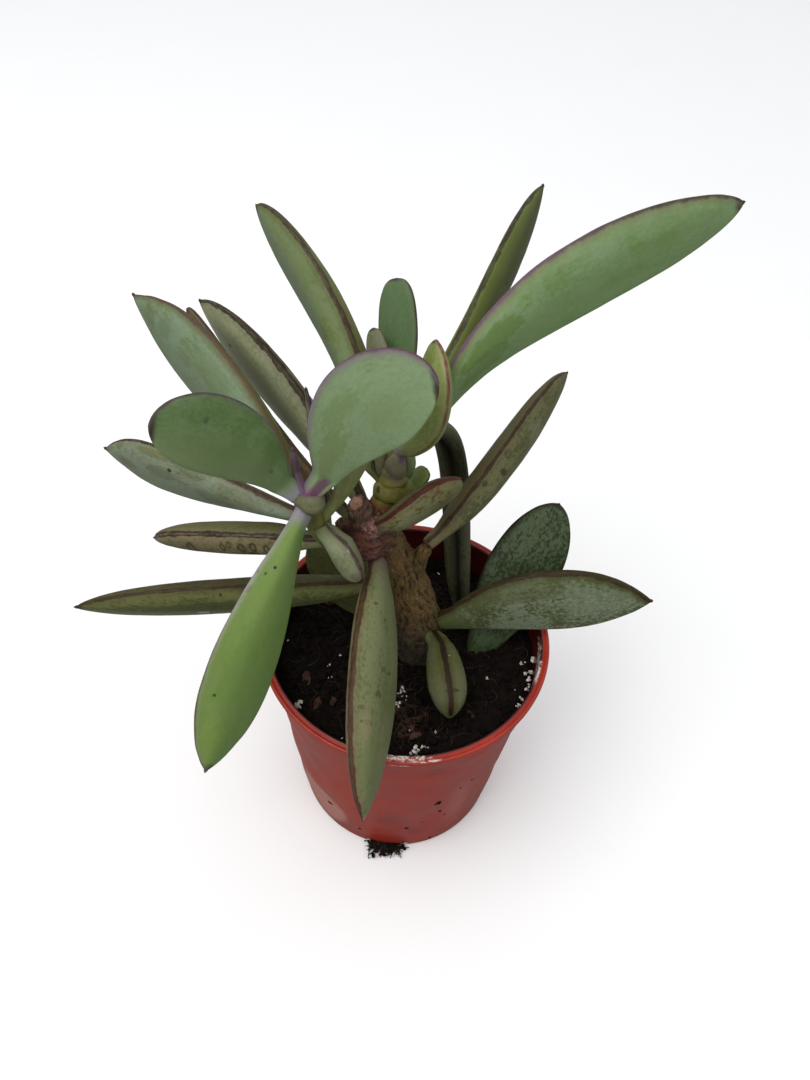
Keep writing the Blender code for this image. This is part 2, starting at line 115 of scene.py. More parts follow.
def rough_at(place: np.ndarray, size: float, seed: float = 0.0) -> float:
    """Smooth noise about -1 to 1 at a place, with lumps of a size."""
    return noise.noise(Vector((place[0] / size + seed, place[1] / size, place[2] / size - seed)))


class SocketKind(Enum):
    """What a group's socket carries."""

    NUMBER = "NodeSocketFloat"
    VECTOR = "NodeSocketVector"
    COLOUR = "NodeSocketColor"


@dataclass(frozen=True)
class Port:
    """A named socket of a shader effect, with the value that it starts from."""

    name: str
    kind: SocketKind = SocketKind.NUMBER
    value: object = None


class Value:
    """A number, vector or colour that changes over a surface, with the sums that a number takes."""

    def __init__(self, graph: "Graph", socket: bpy.types.NodeSocket) -> None:
        """Takes the output socket that gives it."""
        self.graph = graph
        self.socket = socket

    def __add__(self, other: "Value | float") -> "Value":
        """This number and another."""
        return self.graph.math("ADD", self, other)

    def __sub__(self, other: "Value | float") -> "Value":
        """This number less another."""
        return self.graph.math("SUBTRACT", self, other)

    def __rsub__(self, other: float) -> "Value":
        """Another number less this one."""
        return self.graph.math("SUBTRACT", other, self)

    def __mul__(self, other: "Value | float") -> "Value":
        """This number times another."""
        return self.graph.math("MULTIPLY", self, other)

    def __abs__(self) -> "Value":
        """This number without its sign."""
        return self.graph.math("ABSOLUTE", self)

    __radd__ = __add__

    def ease(self, low: object, high: object, start: float = 0.0, end: float = 1.0) -> "Value":
        """Eases from start, where this number is low, to end, where it is high."""
        inputs = {"Value": self, "From Min": low, "From Max": high, "To Min": start, "To Max": end}
        return self.graph.value("ShaderNodeMapRange", inputs, interpolation_type="SMOOTHSTEP")


class Graph:
    """Adds nodes to a shader tree and links them."""

    def __init__(self, tree: bpy.types.NodeTree) -> None:
        """Takes the tree to work in."""
        self.tree = tree

    def feed(self, node: bpy.types.Node, inputs: dict) -> None:
        """Links a node's inputs to values, or sets them.

        Args:
            node: The node.
            inputs: What feeds each, by name or number: a value, a number, a vector or a display colour.
        """
        for key, value in inputs.items():
            socket = node.inputs[key]
            if isinstance(value, Value):
                self.tree.links.new(value.socket, socket)
            else:
                socket.default_value = linear(value) if socket.type == "RGBA" else value

    def node(self, kind: str, inputs: dict | None = None, **settings: object) -> bpy.types.Node:
        """Adds a node.

        Args:
            kind: The node's type.
            inputs: What feeds its inputs, by name or number.
            settings: The node's own settings.

        Returns:
            The new node.
        """
        made = self.tree.nodes.new(kind)
        for key, value in settings.items():
            setattr(made, key, value)
        self.feed(made, inputs or {})
        return made

    def value(self, kind: str, inputs: dict, output: int | str = 0, **settings: object) -> Value:
        """Adds a node and gives one of its outputs."""
        return Value(self, self.node(kind, inputs, **settings).outputs[output])

    def values(self, node: bpy.types.Node) -> dict[str, Value]:
        """All of a node's outputs, by name."""
        return {socket.name: Value(self, socket) for socket in node.outputs}

    def math(self, operation: str, *terms: Value | float) -> Value:
        """The result of one sum on numbers."""
        return self.value("ShaderNodeMath", dict(enumerate(terms)), operation=operation)

    def vector(self, operation: str, *terms: Value | Place) -> Value:
        """The result of one sum on vectors."""
        return self.value("ShaderNodeVectorMath", dict(enumerate(terms)), operation=operation)

    def length(self, vector: Value) -> Value:
        """A vector's length."""
        return self.value("ShaderNodeVectorMath", {0: vector}, "Value", operation="LENGTH")

    def split(self, vector: Value) -> list[Value]:
        """A vector's three parts."""
        return list(self.values(self.node("ShaderNodeSeparateXYZ", {0: vector})).values())

    def combined(self, x: Value, y: Value, up: Value | float = 0.0) -> Value:
        """A vector made from its parts."""
        return self.value("ShaderNodeCombineXYZ", {0: x, 1: y, 2: up})

    def attribute(self, name: str) -> Value:
        """A vector that the mesh carries at each point."""
        return self.value("ShaderNodeAttribute", {}, "Vector", attribute_name=name)

    def mix(self, share: Value | float, first: object, second: object, blend: str = "MIX") -> Value:
        """Mixes two colours, from the first at a share of 0 to the second at a share of 1."""
        inputs = {0: share, 6: first, 7: second}
        return self.value("ShaderNodeMix", inputs, 2, data_type="RGBA", blend_type=blend)

    def shaded(self, colour: Value, tone: Value) -> Value:
        """A colour times a tone."""
        return self.mix(1.0, colour, self.combined(tone, tone, tone), "MULTIPLY")

    def stretched(self, place: Value, sizes: Place) -> Value:
        """A place divided by a size along each axis."""
        return self.vector("MULTIPLY", place, tuple(1 / size for size in sizes))

    def noise(
        self, place: Value, size: float | Place, seed: object = 0.0, detail: float = 2.0, rough: float = 0.5,
    ) -> Value:
        """Noise from 0 to 1, about 0.5.

        Args:
            place: Where it is read, in millimetres.
            size: The size of its lumps, in millimetres, or their size along each axis.
            seed: Which noise it is.
            detail: How many finer layers it has.
            rough: How strong they are.

        Returns:
            The noise's value.
        """
        if isinstance(size, tuple):
            place, size = self.stretched(place, size), 1.0
        inputs = {"Vector": place, "W": seed, "Scale": 1 / size, "Detail": detail, "Roughness": rough}
        return self.value("ShaderNodeTexNoise", inputs, noise_dimensions="4D")

    def object_place(self) -> Value:
        """The place on the object, in millimetres."""
        return self.vector(
            "MULTIPLY", self.value("ShaderNodeTexCoord", {}, "Object"), (1 / MM, 1 / MM, 1 / MM),
        )

    def bump(self, height: Value, strength: float, depth: float) -> Value:
        """A normal from a height of 0 to 1 and its depth in millimetres."""
        return self.value("ShaderNodeBump", {"Height": height, "Strength": strength, "Distance": depth * MM})


class ShaderEffect:
    """A shader node group that is built once and placed in each material with its own values."""

    label: ClassVar[str] = ""
    takes: ClassVar[tuple[Port, ...]] = ()
    gives: ClassVar[tuple[Port, ...]] = ()

    def wire(self, graph: Graph, given: dict[str, Value]) -> tuple[Value, ...]:
        """Builds the effect inside its group.

        Args:
            graph: The group's nodes.
            given: The group's inputs, by name.

        Returns:
            What feeds each of the group's outputs, in order.
        """
        raise NotImplementedError

    def tree(self) -> bpy.types.NodeTree:
        """The effect's group, built the first time that it is asked for.

        Returns:
            The group's node tree.
        """
        found = bpy.data.node_groups.get(self.label)
        if found:
            return found
        made = bpy.data.node_groups.new(self.label, "ShaderNodeTree")
        for port in self.takes:
            socket = made.interface.new_socket(port.name, in_out="INPUT", socket_type=port.kind.value)
            if port.value is not None:
                socket.default_value = linear(port.value) if port.kind is SocketKind.COLOUR else port.value
        for port in self.gives:
            made.interface.new_socket(port.name, in_out="OUTPUT", socket_type=port.kind.value)
        graph = Graph(made)
        source = graph.node("NodeGroupInput")
        target = graph.node("NodeGroupOutput")
        graph.feed(target, dict(enumerate(self.wire(graph, graph.values(source)))))
        return made

    def place(self, graph: Graph, inputs: dict, finish: object = None) -> dict[str, Value]:
        """Puts the effect in a material.

        Args:
            graph: The material's nodes.
            inputs: What may feed it, by socket name. What it has no socket for is passed over.
            finish: A finish whose fields feed the other sockets of the same name.

        Returns:
            The effect's outputs, by name.
        """
        fields = {port.name: port.name.lower().replace(" ", "_") for port in self.takes}
        own = {name: getattr(finish, field) for name, field in fields.items() if hasattr(finish, field)}
        given = {name: value for name, value in {**own, **inputs}.items() if name in fields}
        return graph.values(graph.node("ShaderNodeGroup", given, node_tree=self.tree()))


class LeafPlace(ShaderEffect):
    """Where a point lies on its leaf: the share of the length, the signed share round the blade from its
    upper edge, minus on the left face, the signed distance from that edge, the distance from the lower
    edge, and the place along, across and through the blade."""

    label = "leaf_place"
    gives = (Port("Along"), Port("Flank"), Port("Edge"), Port("Low"), Port("Place", SocketKind.VECTOR))

    def wire(self, graph: Graph, given: dict[str, Value]) -> tuple[Value, ...]:
        """Reads the leaf's own attributes.

        Args:
            graph: The group's nodes.
            given: The group's inputs, of which there are none.

        Returns:
            The outputs.
        """
        along, flank, face = graph.split(graph.attribute("leaf_map"))
        edge, low, _ = graph.split(graph.attribute("leaf_edge"))
        sign = graph.math("GREATER_THAN", face, 0.0) * 2.0 - 1.0
        return along, flank * sign, edge * sign, low, graph.attribute("leaf_mm")


class WaxBloom(ShaderEffect):
    """Wax in patches, streaks and grains over the skin of a leaf."""

    label = "wax_bloom"
    takes = (
        Port("Place", SocketKind.VECTOR),
        Port("Seed", value=0.0),
        Port("Skin", SocketKind.COLOUR, (80, 100, 60)),
        Port("Wax", SocketKind.COLOUR, (120, 140, 110)),
        Port("Cover", value=0.6),
        Port("Streak", value=0.4),
        Port("Fleck", value=0.3),
        Port("Blur", value=0.13),
    )
    gives = (Port("Colour", SocketKind.COLOUR), Port("Mask"), Port("Height"))

    def wire(self, graph: Graph, given: dict[str, Value]) -> tuple[Value, ...]:
        """Adds up a broad, a streaked and a fine noise, and cuts them at the cover.

        Args:
            graph: The group's nodes.
            given: The group's inputs, by name.

        Returns:
            The outputs.
        """
        place, seed = given["Place"], given["Seed"]
        broad = graph.noise(place, 9.0, seed, detail=3, rough=0.55)
        streaks = graph.noise(place, (11.0, 1.3, 1.3), seed, detail=3, rough=0.6)
        fine = graph.noise(graph.stretched(place, (1.5, 1.0, 1.0)), 0.75, seed, detail=4, rough=0.7)
        grain = graph.noise(place, 0.24, seed, detail=2, rough=0.6)
        share = given["Streak"] * 0.7
        total = broad * (1.0 - share) + streaks * share + (fine - 0.5) * given["Fleck"] * 2.0
        middle = given["Cover"] * -0.44 + 0.72
        mask = total.ease(middle - given["Blur"], middle + given["Blur"])
        tone = fine.ease(0.25, 0.75, 0.9, 1.06) + grain.ease(0.3, 0.7, -0.04, 0.04)
        colour = graph.shaded(graph.mix(mask, given["Skin"], given["Wax"]), tone)
        return colour, mask, fine * 0.6 + grain * 0.4


class EdgeStripe(ShaderEffect):
    """The coloured stripe along a leaf's upper edge, with its pale split and its soft halo."""

    HALO_REACH: ClassVar[float] = 2.0

    label = "edge_stripe"
    takes = (
        Port("Edge"),
        Port("Along"),
        Port("Place", SocketKind.VECTOR),
        Port("Seed", value=0.0),
        Port("Base", SocketKind.COLOUR, (100, 120, 90)),
        Port("Stripe", SocketKind.COLOUR, (90, 60, 90)),
        Port("Stripe Tip", SocketKind.COLOUR, (60, 45, 45)),
        Port("Halo", SocketKind.COLOUR, (130, 120, 110)),
        Port("Halo Amount", value=0.3),
        Port("Stripe Width", value=1.2),
        Port("Stripe At", value=0.0),
        Port("Stripe Soft", value=0.16),
        Port("Split", value=0.0),
        Port("Breaks", value=0.2),
    )
    gives = (Port("Colour", SocketKind.COLOUR), Port("Mask"))

    def wire(self, graph: Graph, given: dict[str, Value]) -> tuple[Value, ...]:
        """Measures how far the point is from the middle of a slightly wandering line.

        Args:
            graph: The group's nodes.
            given: The group's inputs, by name.

        Returns:
            The outputs.
        """
        place, seed, soft = given["Place"], given["Seed"], given["Stripe Soft"]
        along_only = graph.vector("MULTIPLY", place, (1.0, 0.12, 0.12))
        wander = graph.noise(along_only, 6.0, seed) * 0.7 - 0.35
        at = given["Edge"] - given["Stripe At"] + wander
        swell = graph.noise(along_only, 4.0, seed + 7.0, detail=3, rough=0.6).ease(0.3, 0.7, 0.36, 0.62)
        half = given["Stripe Width"] * swell
        rim = abs(at) + (graph.noise(place, 0.5, seed) * 0.3 - 0.15)
        worn = graph.noise(place, (2.2, 0.9, 0.9), seed, detail=3, rough=0.6).ease(0.46, 0.56)
        mask = rim.ease(half - soft, half + soft, 1.0, 0.0) * (1.0 - worn * given["Breaks"])
        halo = abs(at).ease(half, half + self.HALO_REACH, 1.0, 0.0)
        haloed = graph.mix(halo * given["Halo Amount"], given["Base"], given["Halo"])
        stripe = graph.mix(given["Along"].ease(0.25, 0.8), given["Stripe"], given["Stripe Tip"])
        split_line = abs(at + 0.12).ease(0.06, 0.26, 1.0, 0.0)
        split_kept = graph.noise(along_only, 2.6, seed + 3.0, detail=3, rough=0.7).ease(0.42, 0.56)
        stripe = graph.mix(split_line * split_kept * given["Split"], stripe, given["Halo"])
        return graph.mix(mask, haloed, stripe), mask


class SpotScatter(ShaderEffect):
    """Scattered small spots."""

    label = "spot_scatter"
    takes = (
        Port("Place", SocketKind.VECTOR),
        Port("Seed", value=0.0),
        Port("Base", SocketKind.COLOUR, (100, 120, 90)),
        Port("Spot", SocketKind.COLOUR, (60, 50, 35)),
        Port("Spot Spacing", value=3.0),
        Port("Spot Size", value=0.3),
        Port("Spot Amount", value=0.4),
    )
    gives = (Port("Colour", SocketKind.COLOUR), Port("Mask"))

    def wire(self, graph: Graph, given: dict[str, Value]) -> tuple[Value, ...]:
        """Takes cells, keeps some of them, and marks each one's middle.

        Args:
            graph: The group's nodes.
            given: The group's inputs, by name.

        Returns:
            The outputs.
        """
        place, seed = given["Place"], given["Seed"]
        inputs = {"Vector": place, "W": seed, "Scale": graph.math("DIVIDE", 1.0, given["Spot Spacing"])}
        cells = graph.values(graph.node("ShaderNodeTexVoronoi", inputs, voronoi_dimensions="4D"))
        picks = graph.values(graph.node("ShaderNodeSeparateColor", {0: cells["Color"]}))
        distance = cells["Distance"] + (graph.noise(place, 0.8, seed) * 0.24 - 0.12)
        reach = given["Spot Size"] * (picks["Green"] * 0.9 + 0.4)
        there = graph.math("LESS_THAN", picks["Red"], given["Spot Amount"])
        mask = distance.ease(reach * 0.7, reach, 1.0, 0.0) * there
        return graph.mix(mask, given["Base"], given["Spot"]), mask


class RaggedPatch(ShaderEffect):
    """One rounded patch with a ragged border, filled or as a ring, as a mask."""

    label = "ragged_patch"
    takes = (
        Port("At", SocketKind.VECTOR),
        Port("Centre", SocketKind.VECTOR),
        Port("Reach", SocketKind.VECTOR, (1.0, 1.0, 1.0)),
        Port("Place", SocketKind.VECTOR),
        Port("Ragged", value=0.4),
        Port("Soft", value=0.2),
        Port("Ring", value=0.0),
    )
    gives = (Port("Mask"),)

    def wire(self, graph: Graph, given: dict[str, Value]) -> tuple[Value, ...]:
        """Measures from the patch's centre, moved in and out by noise.

        Args:
            graph: The group's nodes.
            given: The group's inputs, by name.

        Returns:
            The outputs.
        """
        away = graph.vector("DIVIDE", graph.vector("SUBTRACT", given["At"], given["Centre"]), given["Reach"])
        lumps = graph.noise(given["Place"], (2.0, 1.1, 1.1), 1.7, detail=5, rough=0.65)
        edge = graph.length(away) + (lumps - 0.5) * given["Ragged"] * 2.4
        filled = edge.ease(1.0 - given["Soft"], 1.0 + given["Soft"], 1.0, 0.0)
        return (filled - edge.ease(0.4, 0.75, 1.0, 0.0) * given["Ring"],)


class BladeTint(ShaderEffect):
    """The tints of a leaf's parts: its stalk, its tip, its lower half, its lower edge and one band. The
    lower half's tint, mostly paler, is painted light that lifts a flank in shade.
    """

    label = "blade_tint"
    takes = (
        Port("Along"),
        Port("Flank"),
        Port("Low"),
        Port("Place", SocketKind.VECTOR),
        Port("Base", SocketKind.COLOUR, (100, 120, 90)),
        Port("Band", SocketKind.COLOUR, (140, 160, 80)),
        Port("Band At", value=-0.3),
        Port("Band Width", value=0.15),
        Port("Band Amount", value=0.0),
        Port("Lower", SocketKind.COLOUR, (100, 120, 90)),
        Port("Lower Amount", value=0.0),
        Port("Rim", SocketKind.COLOUR, (80, 70, 60)),
        Port("Rim Width", value=0.0),
        Port("Stalk", SocketKind.COLOUR, (100, 120, 80)),
        Port("Stalk Reach", value=0.1),
        Port("Tip", SocketKind.COLOUR, (60, 50, 45)),
        Port("Tip Reach", value=0.03),
    )
    gives = (Port("Colour", SocketKind.COLOUR),)

    def wire(self, graph: Graph, given: dict[str, Value]) -> tuple[Value, ...]:
        """Lays each tint over the last.

        Args:
            graph: The group's nodes.
            given: The group's inputs, by name.

        Returns:
            The outputs.
        """
        waver = graph.noise(given["Place"], 5.0, 3.3, detail=3) * 0.3 - 0.15
        off_band = abs(given["Flank"] - given["Band At"] + waver * 0.4)
        band = off_band.ease(0.0, given["Band Width"], 1.0, 0.0) * given["Band Amount"]
        colour = graph.mix(band, given["Base"], given["Band"])
        # Painted light: a tint, mostly paler, that grows towards the lower edge and lifts a flank in shade.
        lower = (abs(given["Flank"]) + waver).ease(0.3, 0.95) * given["Lower Amount"]
        colour = graph.mix(lower, colour, given["Lower"])
        rim = (given["Low"] + waver * 0.6).ease(0.0, given["Rim Width"] + 0.01, 1.0, 0.0)
        there = graph.math("GREATER_THAN", given["Rim Width"], 0.01)
        colour = graph.mix(rim * there, colour, given["Rim"])
        near = given["Along"] + waver * 0.15
        colour = graph.mix(near.ease(0.0, given["Stalk Reach"], 1.0, 0.0), colour, given["Stalk"])
        start = 1.0 - given["Tip Reach"]
        return (graph.mix(near.ease(start, start + given["Tip Reach"] * 0.8), colour, given["Tip"]),)


LEAF_PLACE = LeafPlace()
WAX_BLOOM = WaxBloom()
EDGE_STRIPE = EdgeStripe()
SPOT_SCATTER = SpotScatter()
RAGGED_PATCH = RaggedPatch()
BLADE_TINT = BladeTint()


def new_material(name: str) -> tuple[bpy.types.Material, Graph, bpy.types.Node]:
    """Makes a material.

    Args:
        name: The material's name.

    Returns:
        The material, its nodes, and its Principled shader.
    """
    made = bpy.data.materials.new(name)
    made.use_nodes = True
    return made, Graph(made.node_tree), made.node_tree.nodes["Principled BSDF"]


def flesh(scatter: float, weight: float) -> dict:
    """The shader's values for light that scatters in a green stem or leaf, so many millimetres deep."""
    return {
        "Subsurface Weight": weight, "Subsurface Radius": (0.5, 1.0, 0.25), "Subsurface Scale": scatter * MM,
    }


@dataclass(frozen=True)
class Zone:
    """A rounded, ragged patch on a piece, with its centre and its reach in millimetres."""

    centre: Place
    reach: Place
    ragged: float = 0.3
    soft: float = 0.2

    def mask(self, graph: Graph, place: Value) -> Value:
        """How much of the patch there is at a place."""
        return RAGGED_PATCH.place(graph, {"At": place, "Place": place}, self)["Mask"]


@dataclass(frozen=True)
class Smear:
    """A patch on a leaf: its centre and reach as shares of the length and of the way round from the upper
    edge, minus on the left face, its colour, how strong, ragged and soft it is, and how hollow."""

    along: float
    flank: float
    reach_along: float
    reach_flank: float
    colour: Colour
    amount: float = 0.7
    ragged: float = 0.35
    soft: float = 0.25
    ring: float = 0.0

    def over(self, graph: Graph, at: Value, place: Value, colour: Value) -> Value:
        """Lays the smear over a leaf's colour.

        Args:
            graph: The material's nodes.
            at: The shares along and round the leaf.
            place: The place on the leaf, in millimetres.
            colour: The colour below.

        Returns:
            The colour with the smear on it.
        """
        centre, reach = (self.along, self.flank, 0.0), (self.reach_along, self.reach_flank, 1.0)
        inputs = {"At": at, "Centre": centre, "Reach": reach, "Place": place}
        return graph.mix(RAGGED_PATCH.place(graph, inputs, self)["Mask"] * self.amount, colour, self.colour)


@dataclass(frozen=True)
class LeafFinish:
    """How a leaf's skin looks: the colours of its two waxed faces and of its bare skin, and its marks."""

    name: str
    left: Colour
    right: Colour
    skin: Colour
    cover: float = 0.62
    streak: float = 0.4
    fleck: float = 0.25
    blur: float = 0.13
    band: Colour = (140, 160, 80)
    band_at: float = -0.3
    band_width: float = 0.2
    band_amount: float = 0.0
    # The lower tint, mostly paler, is painted light that lifts a flank in shade.
    lower: Colour = (110, 125, 95)
    lower_amount: float = 0.0
    rim: Colour = (80, 66, 56)
    rim_width: float = 0.0
    stripe: Colour = (92, 62, 84)
    stripe_tip: Colour = (62, 46, 44)
    stripe_width: float = 1.1
    stripe_at: float = 0.0
    stripe_soft: float = 0.16
    halo: Colour = (122, 118, 100)
    halo_amount: float = 0.25
    split: float = 0.0
    breaks: float = 0.25
    spot: Colour = (64, 56, 38)
    spot_spacing: float = 3.2
    spot_size: float = 0.2
    spot_amount: float = 0.12
    stalk: Colour = (104, 118, 78)
    stalk_reach: float = 0.12
    tip: Colour = (58, 46, 42)
    tip_reach: float = 0.035
    roughness: float = 0.5
    sheen: float = 0.3
    smears: tuple[Smear, ...] = ()
    slot: Slot = Slot.YOUNG

    def material(self, seed: float) -> bpy.types.Material:
        """Builds the leaf's material.

        Args:
            seed: Which noise the leaf has.

        Returns:
            The material.
        """
        material, graph, shader = new_material(self.name)
        given = {**LEAF_PLACE.place(graph, {}), "Seed": seed}
        wax = graph.mix(given["Flank"].ease(-0.06, 0.06), self.left, self.right)
        bloom = WAX_BLOOM.place(graph, {**given, "Wax": wax}, self)
        tinted = BLADE_TINT.place(graph, {**given, "Base": bloom["Colour"]}, self)
        spots = SPOT_SCATTER.place(graph, {**given, "Base": tinted["Colour"]}, self)
        colour = spots["Colour"]
        at = graph.combined(given["Along"], given["Flank"])
        for smear in self.smears:
            colour = smear.over(graph, at, given["Place"], colour)
        stripe = EDGE_STRIPE.place(graph, {**given, "Base": colour}, self)
        waxed = bloom["Mask"].ease(0.0, 1.0, self.roughness - 0.08, self.roughness + 0.06)
        relief = bloom["Height"] - spots["Mask"] * 0.5 - stripe["Mask"] * 0.4
        graph.feed(shader, {
            "Base Color": stripe["Colour"],
            "Roughness": spots["Mask"] * 0.15 + waxed,
            "Specular IOR Level": self.sheen,
            **flesh(2.5, 0.12),
            "Normal": graph.bump(relief, 0.35, 0.12),
        })
        return material


@dataclass(frozen=True)
class OldLeafFinish(LeafFinish):
    """The duller skin of an old leaf, whose wax is worn to crisp patches."""

    blur: float = 0.08
    sheen: float = 0.18
    slot: Slot = Slot.OLD


def ring_mark(along: float, flank: float, reach_along: float, reach_flank: float) -> Smear:
    """A dark ring on a leaf."""
    return Smear(along, flank, reach_along, reach_flank, (48, 40, 26), 0.8, 0.55, ring=0.75)


@dataclass(frozen=True)
class MeshData:
    """The points of a mesh in millimetres, its faces, and its named vector attributes."""

    points: np.ndarray
    faces: list
    attributes: tuple[tuple[str, np.ndarray], ...] = ()


def joined(parts: list[MeshData]) -> MeshData:
    """Puts meshes into one.

    Args:
        parts: The meshes to join.

    Returns:
        One mesh with all of their points and faces.
    """
    points, faces, start = [], [], 0
    for part in parts:
        points.append(part.points)
        faces.extend(tuple(index + start for index in face) for face in part.faces)
        start += len(part.points)
    return MeshData(np.concatenate(points), faces)


def ring_faces(rings: int, around: int, low: int | None = None, high: int | None = None) -> list:
    """Faces between rings of points, closed at each end by a point.

    Args:
        rings: How many rings there are.
        around: How many points each has.
        low: The number of the point that closes the start.
        high: The number of the point that closes the end.

    Returns:
        The faces, turned out where the rings run to the right round their direction.
    """
    faces = []
    for i in range(rings - 1):
        for k in range(around):
            n = (k + 1) % around
            faces.append((i * around + k, i * around + n, (i + 1) * around + n, (i + 1) * around + k))
    for k in range(around):
        n = (k + 1) % around
        if low is not None:
            faces.append((low, n, k))
        if high is not None:
            faces.append((high, (rings - 1) * around + k, (rings - 1) * around + n))
    return faces


def tube(path: np.ndarray, radii: np.ndarray, sides: int = 6) -> MeshData:
    """A closed round tube along a path.

    Args:
        path: The points that it follows.
        radii: Its radius at each point.
        sides: The sides of its section.

    Returns:
        The tube's mesh.
    """
    along = unit(np.gradient(path, axis=0))
    across = np.cross(along[0], (0.3, 0.2, 1.0))
    rings = []
    for place, direction, radius in zip(path, along, radii):
        across = unit(across - direction * (across @ direction))
        other = np.cross(direction, across)
        angles = FULL_TURN * np.arange(sides) / sides
        rings.append(place + radius * (np.outer(np.cos(angles), across) + np.outer(np.sin(angles), other)))
    points = np.concatenate([*rings, path[:1], path[-1:]])
    count = len(path) * sides
    return MeshData(points, ring_faces(len(path), sides, count, count + 1))


def lump(
    place: np.ndarray, sizes: np.ndarray, turn: Matrix, rough: float, seed: float, fineness: int = 1,
) -> MeshData:
    """A rough rounded lump.

    Args:
        place: Its middle.
        sizes: Its half sizes.
        turn: How it is turned.
        rough: How uneven it is, as a share of its size.
        seed: Which unevenness it has.
        fineness: How many times its faces are divided.

    Returns:
        The lump's mesh.
    """
    builder = bmesh.new()
    bmesh.ops.create_icosphere(builder, subdivisions=fineness + 1, radius=1.0)
    shape = np.array([vertex.co for vertex in builder.verts])
    faces = [tuple(vertex.index for vertex in face.verts) for face in builder.faces]
    builder.free()
    swell = np.array([1 + rough * rough_at(point, 0.7, seed) for point in shape])
    points = (shape * swell[:, None] * sizes) @ np.array(turn.to_3x3()).T + place
    return MeshData(points, faces)


def turned_matrix(rng: np.random.Generator) -> Matrix:
    """A random turn about all three axes."""
    turns = [
        Matrix.Rotation(float(rng.uniform(low, high)), 3, axis)
        for axis, low, high in (("X", -math.pi, math.pi), ("Y", -math.pi, math.pi), ("Z", 0, FULL_TURN))
    ]
    return turns[0] @ turns[1] @ turns[2]


def add_piece(
    name: str, data: MeshData, material: bpy.types.Material, nodes: tuple[str, ...] = (),
) -> bpy.types.Object:
    """Makes a piece of the plant or pot, rides it on the body and reports it.

    Args:
        name: The piece's name.
        data: Its mesh.
        material: Its material.
        nodes: The frame's nodes that it stands for.

    Returns:
        The new object.
    """
    mesh = bpy.data.meshes.new(name)
    mesh.from_pydata((data.points * MM).tolist(), [], data.faces)
    for label, values in data.attributes:
        attribute = mesh.attributes.new(label, "FLOAT_VECTOR", "POINT")
        attribute.data.foreach_set("vector", values.astype(np.float32).ravel())
    builder = bmesh.new()
    builder.from_mesh(mesh)
    bmesh.ops.recalc_face_normals(builder, faces=builder.faces)
    builder.to_mesh(mesh)
    builder.free()
    mesh.shade_smooth()
    mesh.materials.append(material)
    piece = bpy.data.objects.new(name, mesh)
    bpy.context.scene.collection.objects.link(piece)
    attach(piece, BODY)
    if nodes:
        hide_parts(*nodes)
    log.info("%s: %d faces", piece.name, len(mesh.polygons))
    return piece


@dataclass(frozen=True)
class Stem:
    """A stem as points on its axis, each with the stem's radius there."""

    points: tuple[Place, ...]
    radii: tuple[float, ...]
    bark: bool = False

    def axis(self, share: float) -> tuple[np.ndarray, np.ndarray, float]:
        """Follows the stem.

        Args:
            share: The share of the way along it.

        Returns:
            The place, the direction and the radius there.
        """
        last = len(self.points) - 1
        at = min(max(share, 0.0), 1.0) * last
        i = min(int(at), last - 1)
        t = at - i
        before, start, end, after = (
            np.array(self.points[min(max(k, 0), last)], float) for k in range(i - 1, i + 3)
        )
        first, second = end - before, 2 * before - 5 * start + 4 * end - after
        third = 3 * start - before - 3 * end + after
        place = 0.5 * (2 * start + first * t + second * t * t + third * t ** 3)
        slope = 0.5 * (first + 2 * second * t + 3 * third * t * t)
        return place, unit(slope), self.radii[i] + (self.radii[i + 1] - self.radii[i]) * t

    def line(self, count: int) -> tuple[np.ndarray, np.ndarray, np.ndarray]:
        """Follows the stem at even shares of the way.

        Args:
            count: How many places to give.

        Returns:
            The places, the directions and the radii.
        """
        places, directions, radii = zip(*(self.axis(share) for share in np.linspace(0, 1, count)))
        return np.array(places), np.array(directions), np.array(radii)


TRUNK = Stem(
    points=(
        (4, 1, 58), (4, 1, 70), (3, 5, 82), (-1, 7, 96), (-6.7, 6, 109), (-10.6, 4, 118), (-12.3, 4, 121),
    ),
    radii=(7.0, 7.4, 6.8, 5.7, 5.9, 6.4, 4.6),
    bark=True,
)
STUB = Stem(points=((-11.5, 4, 117), (-13.2, 4, 122), (-14.0, 4, 126)), radii=(3.6, 3.5, 3.3), bark=True)
FORK = Stem(points=((0, 7, 96), (2, 6, 105), (3.4, 5, 112)), radii=(3.9, 2.9, 2.6), bark=True)
SHOOT_LEFT = Stem(
    points=((-17.5, 0.8, 117), (-20, -2, 120), (-23, -4, 126), (-25, -5, 134), (-26, -6, 140)),
    radii=(2.8, 2.6, 2.5, 2.7, 3.0),
)
SHOOT_BACK = Stem(
    points=((-8.1, 7.9, 123.8), (-6, 9.5, 129), (-6, 10, 135), (-5, 12, 141), (-3, 13.5, 149)),
    radii=(4.0, 3.9, 3.5, 3.3, 2.5),
)
GROUND = Stem(points=((19, -3, 60), (19, -3, 64), (19, -3, 72)), radii=(0, 0, 0))


